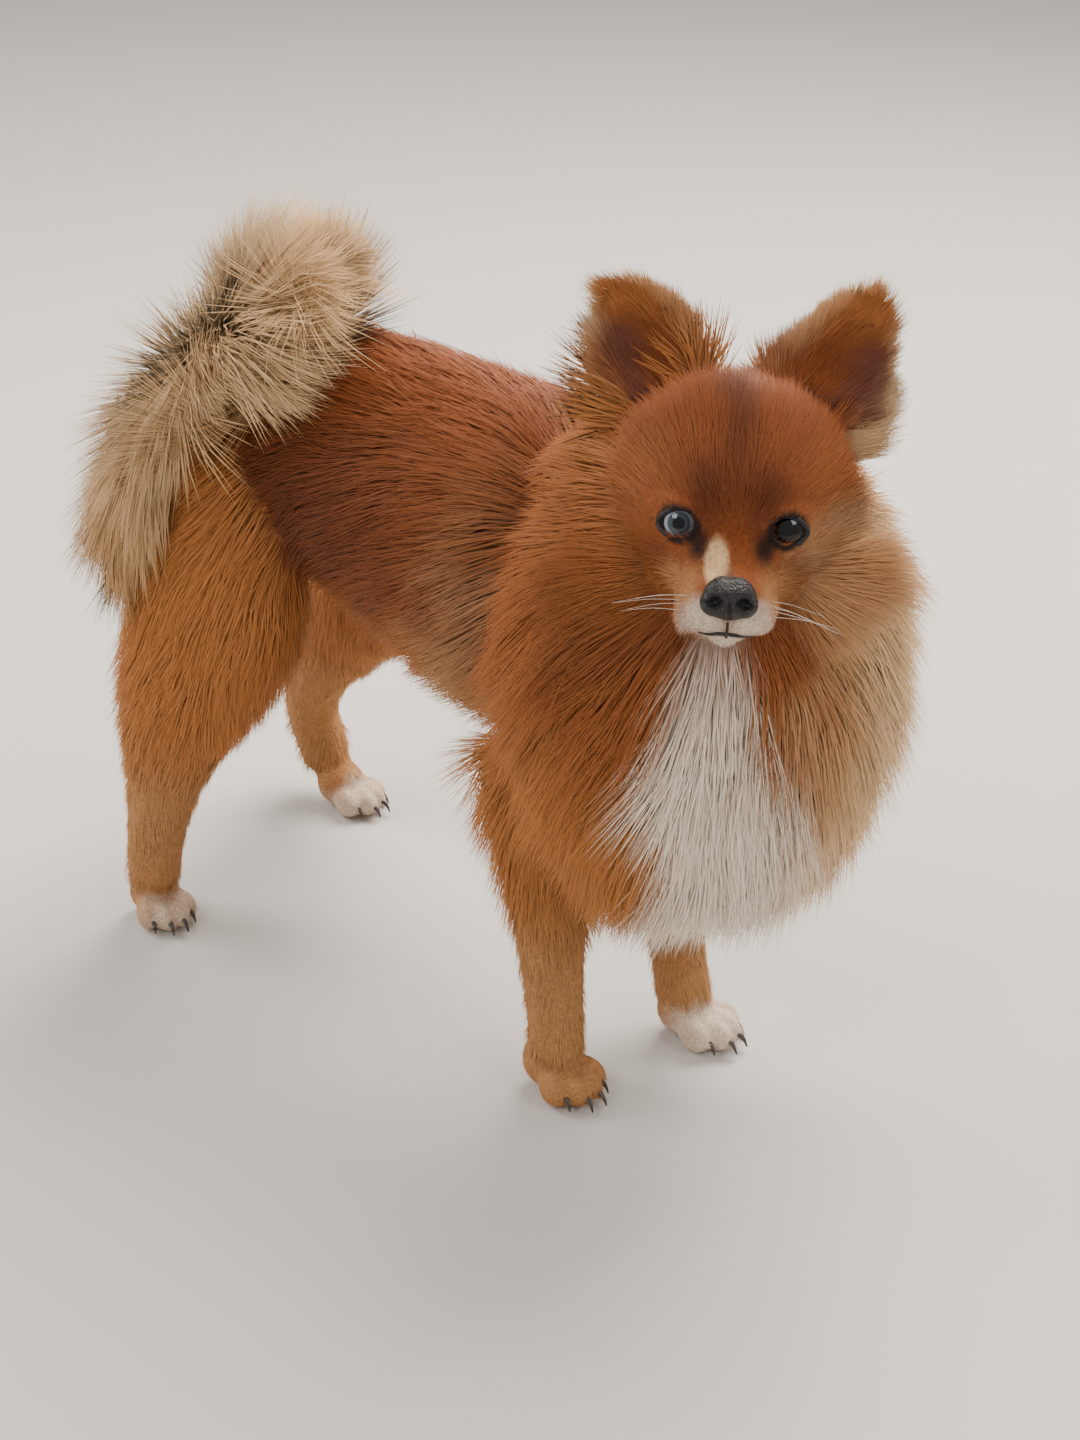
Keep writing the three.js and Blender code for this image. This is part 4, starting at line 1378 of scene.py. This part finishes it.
class POM_OT_nose(bpy.types.Operator):
    """Builds the nose pad with its nostrils and groove, and the lips"""

    bl_idname = "pomeranian.nose"
    bl_label = "Nose and lips"

    def execute(self, context):
        pad = ball(NOSE, (8.2, 6, 7), in_head=True, segments=48, rings=32)
        wings = [ball(NOSE + [x, -0.8, -1.6], (4.3, 4.6, 4.3), in_head=True) for x in (4.6, -4.6)]
        nose = join([pad, *wings], "nose_pad")
        apply_modifier(nose, "REMESH", mode="VOXEL", voxel_size=0.45, use_smooth_shade=True)
        apply_modifier(nose, "SMOOTH", factor=0.5, iterations=4)
        q = to_head(points_of(nose)) - NOSE
        for side in (1, -1):
            q[:, 1] += sum(
                depth * np.exp(-np.sum(((q - [side * x, y, z]) / sizes) ** 2, axis=1))
                for (x, y, z), sizes, depth in NOSTRIL_DIPS
            )
        q[:, 2] -= 0.8 * np.exp(-((q[:, 0] / 2.2) ** 2)) * smooth(2, 6, q[:, 2])
        groove = np.exp(-((q[:, 0] / 0.55) ** 2)) * smooth(2, -2, q[:, 2])
        q[:, 1] += 1.0 * groove * smooth(0, -4, q[:, 1])
        set_points(nose, to_world(from_head(q + NOSE)))
        leather = leather_material("nose_leather", 1700, 0.0005, 0.34)
        settle(nose, "nose_pad", leather, "nose_leather", ["nose"])
        self.lips()
        return {"FINISHED"}

    def on_skin(self, point):
        """Where a line from inside the muzzle through a point leaves the skin, in the head's frame."""
        skin = bpy.data.objects["skin"]
        start = to_world(from_head([point[0] * 0.4, point[1] + 12, -19]))
        heading = to_world(from_head(point)) - start
        found, place, _, _ = skin.ray_cast(start, heading)
        return to_head(to_dog(np.array(place))) if found else point

    def lips(self):
        """A dark, soft line along the closed mouth, up to the nose."""
        line = catmull_rom(MOUTH, np.linspace(0, 1, LIP_STEPS))
        path = np.array([self.on_skin(point) for point in line])
        taper = 0.3 + 0.55 * np.sin(np.linspace(0, np.pi, LIP_STEPS)) ** 3
        lips = tube(path, taper, 10)
        middle = np.array([path[LIP_STEPS // 2], (0, -56.3, -24), (0, -57.2, -19.5)])
        philtrum = tube(catmull_rom(middle, np.linspace(0, 1, 9)), np.full(9, 0.45), 8)
        piece = join([lips, philtrum], "lips")
        set_points(piece, to_world(from_head(points_of(piece))))
        smooth_shade(piece)
        settle(piece, "lips", leather_material("lip_skin", 1200, 0.0002, 0.38), "nose_leather")


class POM_OT_claws(bpy.types.Operator):
    """Builds the claws of all four paws"""

    bl_idname = "pomeranian.claws"
    bl_label = "Claws"

    def execute(self, context):
        claws = []
        bend = catmull_rom(CLAW, np.linspace(0, 1, 9))
        for paw in PAWS:
            for x, y, spread, length in TOES:
                path = bend @ turn_about_z(spread).T + [x, y - length + 1, 0]
                claws.append(tube(paw_points(paw, path), np.linspace(1.3, 0.3, 9), 8))
        piece = join(claws, "claws")
        set_points(piece, to_world(points_of(piece)))
        smooth_shade(piece)
        settle(piece, "claws", claw_material(), "nose_leather")
        return {"FINISHED"}


class POM_OT_coat(bpy.types.Operator):
    """Grows the coat over the skin, piece by piece"""

    bl_idname = "pomeranian.coat"
    bl_label = "Coat"

    def execute(self, context):
        skin = Skin(bpy.data.objects["skin"])
        # The numbers are a tuft's painted shade at its root and how much tufts vary; the pale coats get
        # lighter root shade.
        hair = coat_material("long_soft_hair", 0.55, 1.0)
        pale_hair = coat_material("pale_soft_hair", 0.85, 0.4)
        for name in COATS:
            material = pale_hair if name in PALE_COATS else hair
            settle(grow(name, skin), name, material, "coat_tan")
        return {"FINISHED"}


WHISKERS = 5


class POM_OT_whiskers(bpy.types.Operator):
    """Builds the whiskers on both sides of the muzzle"""

    bl_idname = "pomeranian.whiskers"
    bl_label = "Whiskers"

    def execute(self, context):
        draw = np.random.default_rng(91)
        hairs = []
        for side in (1, -1):
            for k in range(WHISKERS):
                step, row = divmod(k, 3)
                back = -46 + 3.2 * step + draw.normal(0, 0.6)
                root = np.array([side * (9 + 1.6 * row), back, -15 - 2.2 * row])
                length = draw.uniform(16, 27)
                out = unit([side * 1.0, -0.1 + draw.normal(0, 0.18), draw.normal(-0.12, 0.12)])
                tip = root + out * length + [0, 5, -3]
                path = catmull_rom([root, root + out * length * 0.5, tip], np.linspace(0, 1, 9))
                hairs.append(tube(path, np.linspace(0.11, 0.03, 9), 4))
        piece = join(hairs, "whiskers")
        set_points(piece, to_world(from_head(points_of(piece))))
        settle(piece, "whiskers", whisker_material(), "coat_cream")
        return {"FINISHED"}


# The floor and the lights in metres, and the camera's place and the lights' target in the dog's frame.
FLOOR_SIZE = 6
CAMERA_PLACE = (-630.6, -694.85, 579.4)
CAMERA_FORWARD = Vector((0.62910, 0.63097, -0.45399))
CAMERA_UP = Vector((0.32054, 0.32150, 0.89101))
CAMERA_LENS = 70
CAMERA_SENSOR = 36
WORLD_COLOUR = (0.92, 0.89, 0.85, 1)
WORLD_STRENGTH = 0.6
LIGHT_TARGET = (0, -60, 170)
# Each light: its name, its place, its size, its power in watts and its colour.
LIGHTS = (
    ("key", (0.75, 0.15, 1.15), 1.0, 40, (1.0, 0.93, 0.84)),
    ("fill", (-1.35, -0.25, 1.15), 0.5, 8, (1.0, 0.97, 0.94)),
    ("front", (0.1, -1.35, 1.1), 0.5, 6, (1.0, 0.97, 0.94)),
    ("back", (-0.5, 1.1, 1.0), 0.8, 15, (1.0, 0.96, 0.9)),
)


class POM_OT_stage(bpy.types.Operator):
    """Sets the floor, lights and camera"""

    bl_idname = "pomeranian.stage"
    bl_label = "Stage"

    def execute(self, context):
        deselect()
        bpy.ops.mesh.primitive_plane_add(size=FLOOR_SIZE, location=(0, 0, 0))
        floor = bpy.context.active_object
        floor.name = "floor"
        floor.data.materials.append(floor_material())
        self.camera()
        for light in LIGHTS:
            self.light(*light)
        world = bpy.data.worlds.new("studio")
        world.use_nodes = True
        background = world.node_tree.nodes["Background"]
        background.inputs["Color"].default_value = WORLD_COLOUR
        background.inputs["Strength"].default_value = WORLD_STRENGTH
        context.scene.world = world
        return {"FINISHED"}

    def camera(self):
        bpy.ops.object.camera_add()
        camera = bpy.context.active_object
        right = CAMERA_FORWARD.cross(CAMERA_UP)
        turn = Matrix((right, CAMERA_UP, -CAMERA_FORWARD)).transposed().to_4x4()
        camera.matrix_world = Matrix.Translation(Vector(to_world(CAMERA_PLACE))) @ turn
        camera.data.lens = CAMERA_LENS
        camera.data.sensor_width = CAMERA_SENSOR
        bpy.context.scene.camera = camera

    def light(self, name, place, size, power, colour):
        """A soft square light, aimed at the chest."""
        bpy.ops.object.light_add(type="AREA", location=place)
        lamp = bpy.context.active_object
        lamp.name = name
        lamp.data.size = size
        lamp.data.energy = power
        lamp.data.color = colour
        aim = Vector(to_world(LIGHT_TARGET)) - Vector(place)
        lamp.rotation_euler = aim.to_track_quat("-Z", "Y").to_euler()


class POM_PT_panel(bpy.types.Panel):
    """Lists the pomeranian's colours, its coat's density and its pieces"""

    bl_label = "Pomeranian"
    bl_idname = "POM_PT_panel"
    bl_space_type = "VIEW_3D"
    bl_region_type = "UI"
    bl_category = "Pomeranian"

    def draw(self, context):
        for name in PomeranianSettings.__annotations__:
            self.layout.prop(context.scene.pomeranian, name)
        for operator in OPERATORS:
            self.layout.operator(operator.bl_idname)


OPERATORS = (
    POM_OT_stage,
    POM_OT_skin,
    POM_OT_eyes,
    POM_OT_nose,
    POM_OT_claws,
    POM_OT_whiskers,
    POM_OT_coat,
)
CLASSES = (PomeranianSettings, *OPERATORS, POM_PT_panel)


def register():
    for kind in CLASSES:
        bpy.utils.register_class(kind)
    bpy.types.Scene.pomeranian = bpy.props.PointerProperty(type=PomeranianSettings)


def unregister():
    del bpy.types.Scene.pomeranian
    for kind in reversed(CLASSES):
        bpy.utils.unregister_class(kind)


def main():
    register()
    bpy.ops.pomeranian.stage()
    bpy.ops.pomeranian.skin()
    bpy.ops.pomeranian.eyes()
    bpy.ops.pomeranian.nose()
    bpy.ops.pomeranian.claws()
    bpy.ops.pomeranian.whiskers()
    bpy.ops.pomeranian.coat()


if __name__ == "__main__":
    main()
